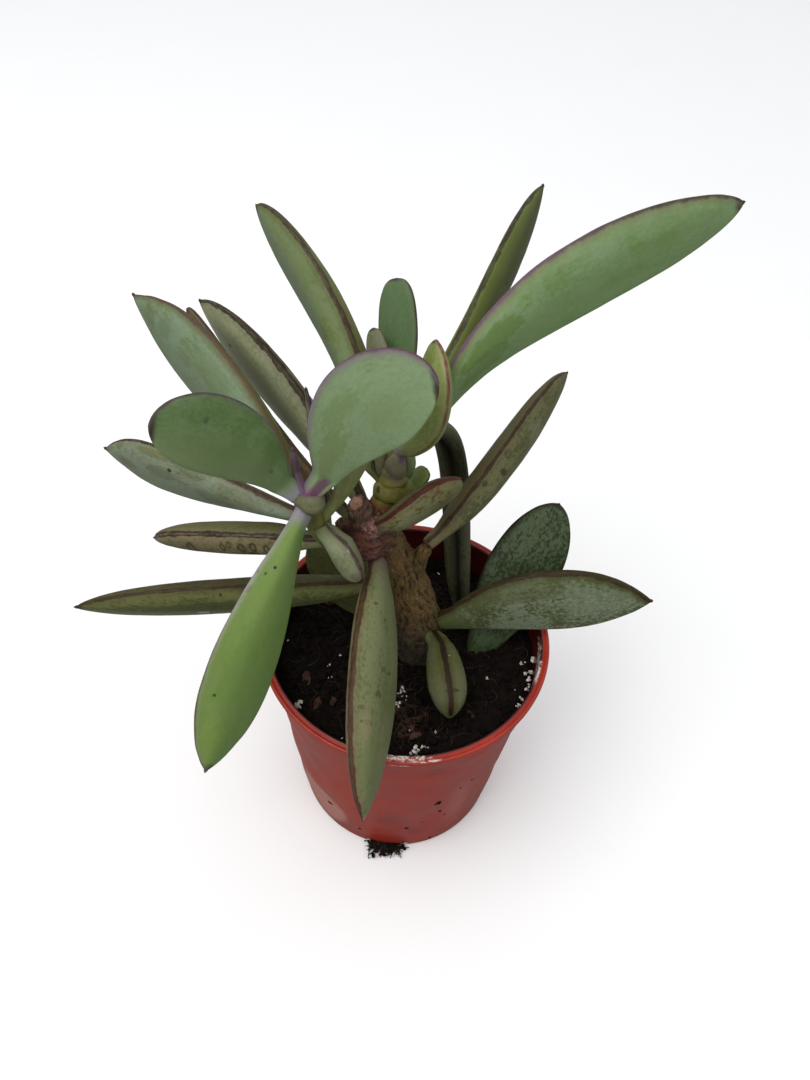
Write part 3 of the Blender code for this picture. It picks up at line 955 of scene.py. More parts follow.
@dataclass(frozen=True)
class LeafBlade:
    """One leaf. Its fields mean what they mean in the part's source. A few values differ, where this finer
    mesh follows the real leaf more closely."""

    name: str
    stem: Stem
    share: float
    tip: Place
    width: float
    thick: float
    finish: LeafFinish
    roll: float = 0.0
    seat: float | None = None
    rise: float = 0.0
    drift: float = 0.0
    early: float = 0.4
    widest: float = 0.62
    keel: float = 0.5
    shoulder: float = 1.25
    point: float = 0.8
    spur: float = 0.7
    stalk: float = 2.1
    groove: float = 0.0
    crumple: float = 0.12

    STATIONS: ClassVar[int] = 88
    AROUND: ClassVar[int] = 52
    EDGE_HALF: ClassVar[float] = 0.45
    STALK_HALF_THICK: ClassVar[float] = 1.5
    SEAT_GAP: ClassVar[float] = 0.35
    BARK_RELIEF: ClassVar[float] = 0.03
    BITE: ClassVar[float] = 1.3
    SEED_STEP: ClassVar[float] = 3.7
    SPUR_STEPS: ClassVar[tuple[float, ...]] = (0.25, 0.5, 0.75, 0.95)
    SINK_REACH: ClassVar[float] = 4.5
    FLARE: ClassVar[float] = 0.16
    FLARE_REACH: ClassVar[float] = 3.0

    def directions(self, start: np.ndarray) -> tuple[np.ndarray, np.ndarray, np.ndarray]:
        """Finds the leaf's own directions.

        Args:
            start: Where the leaf starts.

        Returns:
            The straight line to the tip, and the upward and sideways directions across it.
        """
        chord = np.array(self.tip, float) - start
        forward = unit(chord)
        upward = unit(np.array((0, 0, 1.0)) - forward * forward[2])
        return chord, upward, np.cross(forward, upward)

    def rolled(self, chord: np.ndarray, upward: np.ndarray) -> np.ndarray:
        """Leans the upward direction over.

        Args:
            chord: The straight line to the tip, about which it leans.
            upward: The upward direction across it.

        Returns:
            The direction of the leaf's upper edge.
        """
        turn = Matrix.Rotation(math.radians(self.roll), 3, Vector(chord).normalized())
        return np.array(turn @ Vector(upward))

    def root(self) -> tuple[np.ndarray, np.ndarray]:
        """Finds where the stalk starts.

        Returns:
            The stalk's start, and the step from it back into the stem.
        """
        place, along, radius = self.stem.axis(self.share)
        if radius == 0:
            return place, np.zeros(3)
        if self.stem.bark:
            radius *= 1 + self.BARK_RELIEF
        chord, upward, sideways = self.directions(place)
        bend = upward * self.rise + sideways * self.drift
        heading = unit(chord + bend * 4 * (1 + self.early))
        outward = heading
        if self.seat is not None:
            angle = math.radians(self.seat)
            outward = np.array((math.cos(angle), math.sin(angle), 0))
        outward = unit(outward - along * (outward @ along))
        edge = self.rolled(chord, upward)
        edge = unit(edge - heading * (edge @ heading))
        face = np.cross(heading, edge)
        stalk = math.hypot(self.stalk * (edge @ outward), self.STALK_HALF_THICK * (face @ outward))
        start = place + outward * (radius + stalk + self.SEAT_GAP)
        return start, -outward * (stalk + self.SEAT_GAP + self.BITE)

    def half_widths(self, shares: np.ndarray) -> np.ndarray:
        """Half the blade's width along it.

        Args:
            shares: The shares of its length.

        Returns:
            The half width at each.
        """
        full = self.width / 2
        grown = np.sin(math.pi / 2 * np.minimum(shares / self.widest, 1)) ** self.shoulder
        body = self.stalk + (full - self.stalk) * grown
        closing = np.clip((shares - self.widest) / (1 - self.widest), 0, 1)
        return np.where(shares < self.widest, body, full * (1 - closing ** 2.2) ** self.point)

    def half_thicks(self, shares: np.ndarray) -> np.ndarray:
        """Half the blade's thickness along it.

        Args:
            shares: The shares of its length.

        Returns:
            The half thickness at each.
        """
        full = self.thick / 2
        grown = np.sin(math.pi / 2 * np.minimum(shares / 0.3, 1))
        start = self.STALK_HALF_THICK + (full - self.STALK_HALF_THICK) * grown
        closing = np.clip((shares - 0.3) / 0.7, 0, 1)
        rest = full * np.clip(1 - closing ** 3, 0, 1) ** min(0.7, 1.2 * self.point)
        return np.where(shares < 0.3, start, np.maximum(rest, self.EDGE_HALF))

    def surface(self) -> MeshData:
        """Lofts the blade from its stalk to the spur at its tip.

        Returns:
            The leaf's mesh, with its place on the leaf as attributes.
        """
        root, sink = self.root()
        chord, upward, sideways = self.directions(root)
        bend = upward * self.rise + sideways * self.drift
        length = np.linalg.norm(chord)
        shares = 0.5 * (1 - np.cos(math.pi * np.linspace(0, 1, self.STATIONS)))
        shares = np.append(shares, 1 + self.spur / length * np.array(self.SPUR_STEPS))
        u = np.minimum(shares, 1.0)[:, None]
        lean = 1 + self.early * (1 - 2 * u)
        places = root + chord * u + bend * (4 * u * (1 - u) * lean)
        along = unit(chord + bend * 4 * ((1 - 2 * u) * lean - 2 * self.early * u * (1 - u)))
        places = places + along * (np.maximum(shares - 1, 0) * length)[:, None]
        places = places + sink * (1 - smooth_step(shares, 0.0, self.SINK_REACH / length))[:, None]
        edge = self.rolled(chord, upward)
        edge = unit(edge - along * (along @ edge)[:, None])
        face = np.cross(along, edge)

        wide = self.half_widths(u[:, 0])
        thick = self.half_thicks(u[:, 0])
        spur = 0.5 * np.clip(1 - (shares - 1) * length / max(self.spur, 0.01), 0.12, 1) ** 0.8
        flare = 1 + self.FLARE * (1 - smooth_step(shares, 0.0, self.FLARE_REACH / length))
        wide = np.maximum(wide, spur) * flare
        thick = np.minimum(thick, np.maximum(wide * 0.85, spur * 0.8)) * flare

        angles = FULL_TURN * np.arange(self.AROUND) / self.AROUND
        across, sign = np.cos(angles), np.sign(np.round(np.sin(angles), 6))
        fullest = 0.1 + 0.35 * self.keel
        fall = np.clip((across - fullest) / (1 - fullest), 0, 1)
        rest = np.clip((fullest - across) / (1 + fullest), 0, 1)
        upper = np.clip(1 - fall ** (1.4 + 0.9 * self.keel), 0, 1) ** 0.75
        body = np.where(across > fullest, upper, 1 - rest ** 1.7)
        body = body * (1 - self.groove * np.exp(-(across / 0.22) ** 2))
        blunt = np.minimum(self.EDGE_HALF, thick)
        start = np.clip(1 - blunt / wide, 0, 0.995)[:, None]
        past = np.clip(np.abs(across)[None] - start, 0, 1) / (1 - start)
        cap = np.sqrt(np.clip(1 - past ** 2, 0, 1))
        half = (blunt[:, None] + (thick - blunt)[:, None] * body[None]) * cap

        up_by, out_by = wide[:, None] * across[None], half * sign[None]
        out = edge[:, None, :] * up_by[..., None] + face[:, None, :] * out_by[..., None]
        rings = places[:, None, :] + out
        steps = np.linalg.norm(np.diff(rings, axis=1, append=rings[:, :1]), axis=2)
        one_way = np.concatenate([np.zeros((len(shares), 1)), np.cumsum(steps, axis=1)[:, :-1]], axis=1)
        arc = np.minimum(one_way, steps.sum(axis=1, keepdims=True) - one_way)
        far = arc.max(axis=1, keepdims=True)
        flank = arc / far

        round_it = np.roll(rings, -1, axis=1) - np.roll(rings, 1, axis=1)
        normal = unit(np.cross(round_it, np.gradient(rings, axis=0)))
        normal *= np.sign(np.sum(normal * out, axis=2, keepdims=True))
        calm = smooth_step(shares, 0.03, 0.15) * (1 - smooth_step(shares, 0.93, 0.99))
        relief = np.zeros(rings.shape[:2])
        for i in range(len(shares)):
            for k in range(self.AROUND):
                point = (shares[i] * length * 0.35, wide[i] * across[k], half[i, k] * sign[k])
                relief[i, k] = rough_at(point, 3.6, self.width) + 0.4 * rough_at(point, 1.4, self.thick)
        shift = relief * self.crumple * calm[:, None]
        rings = rings + normal * shift[..., None]

        count = len(shares)
        shape = (count, self.AROUND)
        leaf_map = np.stack([np.broadcast_to(np.minimum(shares, 1)[:, None], shape), flank, out_by], axis=-1)
        leaf_edge = np.stack([arc, far - arc, np.zeros(shape)], axis=-1)
        leaf_mm = np.stack([np.broadcast_to(shares[:, None] * length, shape), up_by, out_by], axis=-1)
        first, last = rings[0].mean(axis=0), rings[-1].mean(axis=0) + along[-1] * 0.05 * self.spur
        points = np.concatenate([rings.reshape(-1, 3), [first, last]])
        ends = {
            "leaf_map": (leaf_map, [(0, 0.5, 0), (1, 0, 0)]),
            "leaf_edge": (leaf_edge, [(2, 2, 0), (0, 0, 0)]),
            "leaf_mm": (leaf_mm, [(0, 0, 0), (length, 0, 0)]),
        }
        attributes = tuple(
            (label, np.concatenate([grid.reshape(-1, 3), caps])) for label, (grid, caps) in ends.items()
        )
        total = count * self.AROUND
        return MeshData(points, ring_faces(count, self.AROUND, total, total + 1), attributes)

    def build(self, number: int) -> bpy.types.Object:
        """Makes the leaf and dresses it.

        Args:
            number: The leaf's place in the list, which picks its noise.

        Returns:
            The leaf's object.
        """
        material = self.finish.material(number * self.SEED_STEP)
        return add_piece(f"{self.name}_blade", self.surface(), material, (self.name,))


DARK_PADDLE = LeafFinish(
    "dark_paddle_leaf", (112, 135, 90), (110, 130, 90), (92, 118, 66), cover=0.55, streak=0.3, fleck=0.15,
    lower=(126, 142, 100), lower_amount=0.6, stripe=(98, 66, 118), stripe_tip=(66, 48, 52),
    halo=(96, 90, 90), stripe_width=1.5, stripe_soft=0.4, stalk=(142, 128, 152), stalk_reach=0.1,
    breaks=0.1, spot_amount=0.03,
    smears=(
        Smear(0.76, -0.34, 0.012, 0.04, (78, 84, 62), 0.7, 0.3),
        Smear(0.25, -0.57, 0.02, 0.04, (78, 84, 62), 0.6, 0.3),
        Smear(0.55, -0.7, 0.3, 0.22, (104, 124, 74), 0.4, 0.9, 0.4),
    ),
)
PALE_PADDLE = LeafFinish(
    "pale_paddle_leaf", (114, 134, 100), (128, 149, 110), (112, 132, 84), cover=0.78, streak=0.35,
    fleck=0.12, stripe=(140, 122, 148), stripe_tip=(88, 48, 70), halo=(122, 108, 118), halo_amount=0.7,
    stripe_width=1.7, stripe_soft=0.55, breaks=0.05, stalk=(150, 84, 130), stalk_reach=0.06,
    spot_amount=0.0,
    smears=(
        Smear(0.27, 0.5, 0.2, 0.16, (108, 126, 72), 0.6, 1.0, 0.3),
        Smear(0.52, 0.33, 0.16, 0.1, (108, 126, 74), 0.5, 1.0, 0.3),
        Smear(0.72, 0.62, 0.12, 0.2, (116, 136, 84), 0.4, 0.9, 0.3),
        Smear(0.05, 0.62, 0.06, 0.17, (96, 46, 82), 0.85, 0.6, 0.5),
    ),
)
BRIGHT_BLADE = LeafFinish(
    "bright_blade_leaf", (104, 128, 66), (92, 112, 64), (98, 126, 50), cover=0.5, streak=0.45, fleck=0.15,
    band=(140, 164, 88), band_at=-0.3, band_width=0.42, band_amount=0.5, lower=(98, 120, 76),
    lower_amount=0.45, stripe=(150, 142, 150), stripe_tip=(76, 60, 48), halo=(140, 134, 124),
    stripe_width=0.8, stripe_soft=0.35, breaks=0.1, stalk=(150, 140, 160), stalk_reach=0.06,
    slot=Slot.BRIGHT, roughness=0.42,
    smears=(
        Smear(0.234, -0.176, 0.007, 0.025, (66, 66, 42), 0.85, 0.5),
        Smear(0.237, -0.03, 0.007, 0.02, (70, 66, 44), 0.9, 0.3),
        Smear(0.304, -0.05, 0.014, 0.035, (96, 100, 70), 0.7, 1.0),
        Smear(0.62, -0.4, 0.2, 0.2, (92, 120, 56), 0.4, 0.9, 0.4),
    ),
)
PLAIN_YOUNG = LeafFinish(
    "plain_young_leaf", (131, 146, 64), (111, 134, 66), (104, 122, 48), stripe=(92, 76, 66),
    stripe_tip=(80, 66, 50), stripe_width=0.6, spot_amount=0.05,
)
OLIVE_YOUNG = replace(
    PLAIN_YOUNG, name="olive_young_leaf", left=(120, 128, 74), right=(126, 130, 84), skin=(112, 118, 62),
    stalk=(142, 148, 84),
)
DULL_YOUNG = replace(
    PLAIN_YOUNG, name="dull_young_leaf", left=(106, 108, 82), right=(102, 118, 78), skin=(88, 94, 58),
    stripe=(92, 72, 84),
)
WAXED_OLD = OldLeafFinish(
    "waxed_old_leaf", (132, 143, 121), (100, 98, 68), (112, 122, 90), cover=0.64, streak=0.5, fleck=0.4,
    stripe=(84, 62, 56), stripe_tip=(56, 38, 32), stripe_width=1.6, stripe_at=0.3, halo=(112, 108, 78),
    halo_amount=0.5, stalk=(122, 104, 98), stalk_reach=0.1, tip=(56, 38, 38), spot_amount=0.2,
    smears=(
        Smear(0.87, -0.53, 0.05, 0.16, (88, 90, 56), 0.4, 0.9, 0.15),
        Smear(0.66, -0.4, 0.07, 0.12, (86, 92, 58), 0.4, 0.9, 0.15),
        Smear(0.5, -0.16, 0.06, 0.12, (94, 96, 56), 0.4, 0.9, 0.15),
        Smear(0.68, -0.11, 0.1, 0.06, (106, 104, 50), 0.6, 0.7),
        Smear(0.28, -0.3, 0.12, 0.2, (98, 98, 58), 0.4, 0.9, 0.2),
        Smear(0.4, -0.6, 0.1, 0.2, (96, 102, 70), 0.4, 0.9, 0.2),
    ),
)
SMALL_PALE = LeafFinish(
    "small_pale_leaf", (108, 112, 86), (124, 130, 99), (98, 104, 66), stripe=(66, 46, 46),
    stripe_tip=(70, 44, 46), stripe_width=1.2, stripe_at=-0.8, stripe_soft=0.3, breaks=0.35,
    halo=(96, 96, 70), halo_amount=0.4, stalk=(98, 108, 62), stalk_reach=0.2, tip_reach=0.01,
    tip=(110, 108, 86), spot_amount=0.05,
    smears=(
        Smear(0.36, -0.02, 0.03, 0.03, (186, 172, 166), 0.8, 0.8),
        Smear(0.8, 0.1, 0.08, 0.1, (104, 84, 84), 0.4, 0.9),
    ),
)
WAXED_YOUNG = LeafFinish(
    "waxed_young_leaf", (118, 136, 107), (108, 110, 70), (96, 114, 66), cover=0.68, streak=0.5,
    stripe=(92, 74, 46), stripe_tip=(74, 48, 42), stripe_width=1.5, halo=(86, 84, 44), halo_amount=0.8,
    stripe_soft=0.25, spot_amount=0.06,
    smears=(
        Smear(0.84, -0.36, 0.04, 0.16, (92, 104, 76), 0.45, 1.2, 0.3),
        Smear(0.73, -0.32, 0.04, 0.14, (92, 106, 74), 0.45, 1.2, 0.3),
        Smear(0.45, -0.3, 0.12, 0.16, (104, 120, 76), 0.5, 0.9, 0.3),
    ),
)
PURPLE_SPIKE = LeafFinish(
    "purple_spike_leaf", (104, 100, 72), (62, 46, 50), (84, 78, 56), stripe=(50, 34, 40),
    stripe_tip=(42, 28, 32),
)
RING_SPOTTED = OldLeafFinish(
    "ring_spotted_leaf", (120, 111, 82), (102, 100, 66), (94, 90, 52), cover=0.6, streak=0.6, fleck=0.45,
    stripe=(52, 36, 22), stripe_tip=(54, 36, 24), stripe_width=1.7, stripe_at=0.2, halo=(150, 136, 118),
    halo_amount=0.08, split=0.4, breaks=0.2, spot=(60, 52, 36), spot_spacing=3.0, spot_size=0.25,
    spot_amount=0.12, tip=(54, 38, 32),
    smears=(
        Smear(0.9, 0.02, 0.07, 0.05, (186, 176, 162), 0.8, 0.8, 0.15),
        Smear(0.8, 0.02, 0.05, 0.03, (180, 168, 156), 0.7, 0.8, 0.15),
        ring_mark(0.667, -0.23, 0.028, 0.12),
        ring_mark(0.479, -0.18, 0.014, 0.07),
        ring_mark(0.442, -0.14, 0.012, 0.05),
        ring_mark(0.379, -0.19, 0.02, 0.09),
        ring_mark(0.32, -0.18, 0.018, 0.09),
        ring_mark(0.255, -0.22, 0.018, 0.08),
        Smear(0.333, -0.31, 0.03, 0.04, (48, 40, 26), 0.8, 0.5),
    ),
)
PURPLE_BUD = LeafFinish(
    "purple_bud_leaf", (98, 85, 70), (97, 82, 76), (88, 64, 70), stripe=(86, 56, 84), stripe_soft=0.5,
    stripe_tip=(84, 60, 84), stalk=(118, 72, 124), stalk_reach=0.35, spot_amount=0.0,
)
OLIVE_STRIP = OldLeafFinish(
    "olive_strip_leaf", (117, 96, 68), (96, 88, 56), (88, 80, 50), stripe=(93, 70, 45),
    stripe_tip=(62, 46, 34), stripe_width=0.8, blur=0.13,
)
# Painted light: the pale left face and the paler lower tint lift a face that falls in shade under the leaf
# above.
GREY_BROWN = OldLeafFinish(
    "grey_brown_leaf", (150, 154, 122), (90, 80, 60), (134, 140, 102), cover=0.66, streak=0.7, fleck=0.5,
    blur=0.16, lower=(168, 172, 142), lower_amount=0.6, stripe=(54, 42, 28), stripe_tip=(48, 36, 24),
    stripe_width=2.4, split=0.6, halo=(98, 92, 64), halo_amount=0.5, breaks=0.15, spot_amount=0.2,
)
LONG_OLD = OldLeafFinish(
    "long_old_leaf", (112, 116, 70), (64, 64, 36), (90, 95, 50), cover=0.6, streak=0.7, fleck=0.45,
    lower=(134, 133, 104), lower_amount=0.75, stripe=(60, 44, 27), stripe_tip=(56, 42, 25),
    stripe_width=1.2, halo=(76, 70, 40), halo_amount=0.6, breaks=0.3, tip=(56, 44, 46), spot_amount=0.15,
    smears=(
        Smear(0.6, -0.46, 0.02, 0.05, (186, 184, 172), 0.9, 0.7, 0.15),
        Smear(0.5, -0.3, 0.4, 0.12, (58, 68, 34), 0.55, 0.9, 0.3),
        Smear(0.5, 0.3, 0.45, 0.3, (84, 77, 58), 0.6, 0.9, 0.3),
    ),
)
SHADED_LOW = OldLeafFinish(
    "shaded_low_leaf", (73, 74, 30), (62, 80, 42), (49, 57, 22), stripe=(52, 44, 30), fleck=0.4,
)
FRONT_STRIPED = OldLeafFinish(
    "front_striped_leaf", (114, 118, 82), (122, 119, 88), (90, 104, 58), cover=0.62, streak=0.55,
    fleck=0.45, lower=(116, 118, 90), lower_amount=0.4, stripe=(62, 42, 24), stripe_tip=(74, 46, 38),
    stripe_width=2.0, stripe_at=0.4, halo=(104, 84, 52), halo_amount=0.5, split=0.35, breaks=0.15,
    stalk=(106, 88, 84), stalk_reach=0.08, tip=(150, 145, 132), tip_reach=0.02, spot=(60, 62, 40),
    spot_amount=0.25,
    smears=(
        Smear(0.2, -0.18, 0.006, 0.03, (60, 60, 38), 0.75, 0.8),
        Smear(0.26, -0.34, 0.006, 0.03, (60, 64, 38), 0.7, 0.9),
        Smear(0.55, -0.31, 0.012, 0.06, (66, 72, 42), 0.65, 1.4, 0.25),
        Smear(0.61, -0.115, 0.01, 0.05, (66, 68, 42), 0.6, 1.4, 0.25),
        Smear(0.66, -0.2, 0.01, 0.07, (66, 70, 42), 0.6, 1.4, 0.25),
        Smear(0.45, -0.38, 0.012, 0.07, (70, 76, 46), 0.55, 1.4, 0.25),
        Smear(0.69, -0.17, 0.09, 0.07, (136, 126, 94), 0.5, 1.4, 0.35),
        Smear(0.8, -0.3, 0.1, 0.2, (96, 112, 62), 0.45, 1.2, 0.3),
    ),
)
RED_STRIPED = OldLeafFinish(
    "red_striped_leaf", (88, 94, 58), (122, 120, 82), (88, 78, 42), fleck=0.6, stripe=(76, 36, 32),
    stripe_tip=(80, 38, 30), stripe_width=1.5, stalk=(104, 84, 80), breaks=0.1, halo=(104, 86, 60),
    halo_amount=0.45, spot=(84, 66, 46), spot_spacing=2.4, spot_size=0.26, spot_amount=0.35, tip_reach=0.01,
    smears=(
        Smear(0.755, 0.14, 0.04, 0.07, (112, 78, 56), 0.5, 1.2),
        Smear(0.4, 0.45, 0.3, 0.3, (124, 130, 98), 0.5, 1.2, 0.3),
    ),
)
MOTTLED_GREY = OldLeafFinish(
    "mottled_grey_leaf", (84, 84, 52), (119, 129, 105), (77, 85, 50), cover=0.5, streak=0.4, fleck=0.5,
    blur=0.09, stripe=(48, 35, 16), stripe_tip=(48, 36, 20), stripe_width=2.4, stripe_at=0.7, split=0.35,
    halo=(66, 66, 28), halo_amount=0.8, stalk=(88, 98, 58), stalk_reach=0.22, roughness=0.56,
    tip=(52, 42, 34),
    smears=(
        Smear(0.4, 0.25, 0.3, 0.16, (80, 86, 50), 0.6, 0.9, 0.3),
        Smear(0.75, 0.5, 0.2, 0.3, (132, 144, 122), 0.4, 1.0, 0.2),
    ),
)
SCARRED_LOW = OldLeafFinish(
    "scarred_low_leaf", (94, 98, 74), (92, 92, 72), (80, 86, 46), band=(84, 86, 44), band_at=0.0,
    band_width=0.55, band_amount=0.6, fleck=0.4, stripe=(36, 24, 10), stripe_tip=(42, 26, 14),
    halo=(60, 56, 24), halo_amount=0.6, stripe_width=1.6, breaks=0.05, tip=(104, 110, 72),
    smears=(
        Smear(0.81, -0.04, 0.02, 0.13, (50, 34, 24), 0.85, 0.4),
        Smear(0.37, -0.08, 0.01, 0.02, (200, 196, 184), 0.8, 0.3),
    ),
)
BROWN_SPOTTED = OldLeafFinish(
    "brown_spotted_leaf", (90, 80, 50), (106, 106, 72), (86, 86, 52), cover=0.6, streak=0.6, fleck=0.45,
    stripe=(60, 40, 26), stripe_tip=(58, 40, 28), stripe_width=1.2, breaks=0.2, halo=(90, 84, 54),
    halo_amount=0.35, spot=(76, 62, 36), spot_spacing=3.6, spot_size=0.3, spot_amount=0.25,
    stalk=(112, 102, 72),
    smears=(
        Smear(0.43, 0.1, 0.018, 0.06, (60, 48, 30), 0.6, 0.6, 0.25, 0.6),
        Smear(0.37, 0.22, 0.014, 0.06, (60, 48, 30), 0.8, 0.6),
        Smear(0.28, 0.09, 0.014, 0.05, (60, 48, 30), 0.8, 0.6),
        Smear(0.6, 0.3, 0.05, 0.16, (126, 126, 98), 0.5, 0.9, 0.2),
    ),
)
MOTTLED_BLUE = OldLeafFinish(
    "mottled_blue_leaf", (80, 94, 68), (84, 97, 70), (52, 64, 39), cover=0.52, streak=0.6, fleck=0.6,
    blur=0.09, stripe=(32, 26, 15), stripe_tip=(34, 26, 15), stripe_width=1.6, halo=(40, 38, 17),
    halo_amount=0.6, rim=(46, 40, 30), rim_width=1.2, stalk=(46, 68, 36), stalk_reach=0.4,
)
TALL_STRIPED = LeafFinish(
    "tall_striped_leaf", (118, 134, 102), (112, 112, 70), (96, 114, 56), band=(124, 138, 66), band_at=-0.18,
    band_width=0.25, band_amount=0.35, stripe=(58, 42, 24), stripe_tip=(52, 38, 26), stripe_width=1.6,
    halo=(90, 92, 38), halo_amount=0.75, cover=0.66, fleck=0.35, blur=0.1,
)
SMALL_UPRIGHT = LeafFinish(
    "small_upright_leaf", (74, 100, 55), (84, 104, 66), (62, 90, 42), lower=(96, 110, 80),
    lower_amount=0.35, stripe=(72, 60, 62), stripe_tip=(58, 46, 46), stripe_width=1.3, stripe_soft=0.35,
    rim=(84, 78, 74), rim_width=1.0, spot_amount=0.04,
)
SPOON = LeafFinish(
    "spoon_leaf", (136, 146, 86), (118, 134, 62), (112, 124, 58), stripe=(104, 92, 60),
    stripe_tip=(106, 50, 54), stripe_width=0.8, stripe_soft=0.25, halo=(136, 136, 84), halo_amount=0.5,
    breaks=0.3, stalk=(146, 144, 140), stalk_reach=0.22, roughness=0.4, spot_amount=0.03,
)
LONG_BLADE = LeafFinish(
    "long_blade_leaf", (108, 124, 92), (127, 151, 108), (108, 136, 74), cover=0.68, streak=0.4, fleck=0.22,
    blur=0.16, band=(134, 154, 104), band_at=0.12, band_width=0.14, band_amount=0.5, lower=(110, 137, 86),
    lower_amount=0.5, stripe=(106, 78, 96), stripe_tip=(66, 46, 42), halo=(114, 112, 80), halo_amount=0.6,
    stripe_width=2.0, stripe_soft=0.5, breaks=0.1, stalk=(120, 142, 88), tip=(60, 40, 44), spot_amount=0.03,
    smears=(
        Smear(0.26, 0.38, 0.1, 0.16, (96, 122, 54), 0.7, 0.9, 0.2),
        Smear(0.21, 0.62, 0.08, 0.16, (92, 116, 56), 0.6, 0.9, 0.2),
        Smear(0.55, 0.6, 0.25, 0.2, (106, 134, 74), 0.3, 1.0, 0.4),
        Smear(0.8, 0.4, 0.12, 0.25, (108, 134, 74), 0.4, 1.0, 0.3),
    ),
)
YELLOW_CORE = LeafFinish(
    "yellow_core_leaf", (108, 122, 66), (80, 87, 44), (80, 90, 40), band=(112, 126, 54), band_at=0.05,
    band_width=0.4, band_amount=0.45, stripe=(54, 42, 20), stripe_tip=(46, 34, 24), stripe_width=1.5,
    halo=(98, 106, 40), halo_amount=0.4, fleck=0.35, blur=0.1,
)
# Painted shade: the near-black band down the middle of each face lies in the leaf's channel. The dark
# colours are partly painted shade under the rosette and partly the leaf's age.
CHANNELLED = OldLeafFinish(
    "channelled_leaf", (96, 100, 78), (78, 80, 56), (58, 60, 36), band=(30, 27, 18), band_at=0.5,
    band_width=0.32, band_amount=1.0, cover=0.6, streak=0.7, fleck=0.4, spot=(176, 172, 154),
    spot_spacing=2.6, spot_size=0.14, spot_amount=0.2, stripe=(90, 92, 64), stripe_tip=(80, 80, 56),
)


@dataclass(frozen=True)
class BarkFinish:
    """Fibrous bark: ridges with a painted highlight on their crests, painted shade in the cracks between
    them, red flecks, a wrinkled maroon swelling with a pale scar, an orange collar under the back shoot, a
    foot painted near-black as shade under the foliage, and the cut stub's dark ring and pith."""

    ridge: Colour = (108, 84, 49)
    # Painted highlight on the fibres' crests.
    crest: Colour = (150, 128, 84)
    # Painted shade in the grooves between fibres, on the bark and on the collar.
    crack: Colour = (48, 27, 15)
    red: Colour = (104, 52, 36)
    green: Colour = (90, 86, 44)
    maroon: Colour = (100, 60, 48)
    maroon_dark: Colour = (58, 32, 25)
    scar: Colour = (158, 122, 116)
    # Near-black painted shade towards the trunk's foot, under the foliage.
    dust: Colour = (33, 27, 23)
    collar: Colour = (120, 80, 40)
    ring: Colour = (102, 76, 60)
    ring_dark: Colour = (70, 48, 38)
    pith: Colour = (178, 136, 112)

    SWELLING_AT: ClassVar[Zone] = Zone((-13.0, 0.5, 117.0), (7.6, 8.0, 9.0), 0.45)
    SCAR_AT: ClassVar[Zone] = Zone((-10.6, 0.6, 124.0), (3.0, 3.2, 2.6), 0.6)
    COLLAR_AT: ClassVar[Zone] = Zone((-7.0, 5.5, 124.5), (4.2, 4.0, 3.2), 0.5)
    RING_AT: ClassVar[Zone] = Zone((-14.0, 3.4, 127.0), (4.4, 4.2, 4.2), 0.15)
    PITH_AT: ClassVar[Zone] = Zone((-14.9, 3.4, 129.2), (1.7, 2.0, 1.8), 0.2)

    def material(self) -> bpy.types.Material:
        """Builds the bark's material.

        Returns:
            The material.
        """
        material, graph, shader = new_material("fibrous_bark")
        place = graph.object_place()
        x, y, up = graph.split(place)
        leant = graph.combined(up * 0.29 + x, y, up)
        waves = graph.value("ShaderNodeTexNoise", {"Vector": place, "Scale": 0.09}, "Color")
        bent = graph.vector("ADD", leant, graph.vector("MULTIPLY", waves, (7.0, 7.0, 0.0)))
        fibres = graph.noise(bent, (0.95, 0.95, 8.0), 2.0, 5, 0.7)
        wrinkles = graph.noise(bent, (4.0, 4.0, 0.7), 3.0, 4, 0.6)
        lumps = graph.noise(place, 3.2, 5.0, 4, 0.6)
        flecks = graph.noise(bent, (0.7, 0.7, 2.6), 9.0, 3, 0.65)
        fine = graph.noise(place, 0.4, 4.0, 3, 0.6)
        grooves = graph.noise(place, (0.5, 1.4, 1.4), 7.0, 3, 0.6)
        skin = graph.mix(lumps.ease(0.42, 0.6) * 0.75, self.ridge, self.green)
        # Painted shade in the grooves, where the fibres' noise, which also makes the bump, is low.
        colour = graph.mix(fibres.ease(0.4, 0.5), self.crack, skin)
        # Painted highlight where the fibres' noise, which also makes the bump, is high.
        colour = graph.mix(fibres.ease(0.58, 0.68) * 0.6, colour, self.crest)
        colour = graph.mix(flecks.ease(0.57, 0.62) * 0.7, colour, self.red)
        # Painted shade: the bark turns near-black towards its foot, under the foliage.
        colour = graph.mix((up + lumps * 12.0).ease(80.0, 98.0, 0.9, 0.0), colour, self.dust)
        maroon = graph.mix(wrinkles.ease(0.42, 0.58), self.maroon_dark, self.maroon)
        maroon = graph.mix(lumps.ease(0.5, 0.62) * 0.12, maroon, self.scar)
        healed = graph.noise(place, 0.9, 6.0, 4, 0.7).ease(0.4, 0.62)
        for zone, tint in (
            (self.SWELLING_AT, maroon),
            (self.SCAR_AT, graph.mix(healed, self.maroon, self.scar)),
            # The collar's grooves carry the same painted shade.
            (self.COLLAR_AT, graph.mix(fibres.ease(0.4, 0.55), self.crack, self.collar)),
            (self.RING_AT, graph.mix(grooves.ease(0.4, 0.6), self.ring_dark, self.ring)),
            (self.PITH_AT, graph.mix(fine.ease(0.2, 0.6), self.ring, self.pith)),
        ):
            colour = graph.mix(zone.mask(graph, place), colour, tint)
        graph.feed(shader, {
            "Base Color": graph.shaded(colour, fine.ease(0.25, 0.75, 0.8, 1.16)),
            "Roughness": fibres.ease(0.3, 0.7, 0.85, 0.6),
            "Specular IOR Level": 0.3,
            "Normal": graph.bump(fibres + fine * 0.5, 0.85, 0.4),
        })
        return material


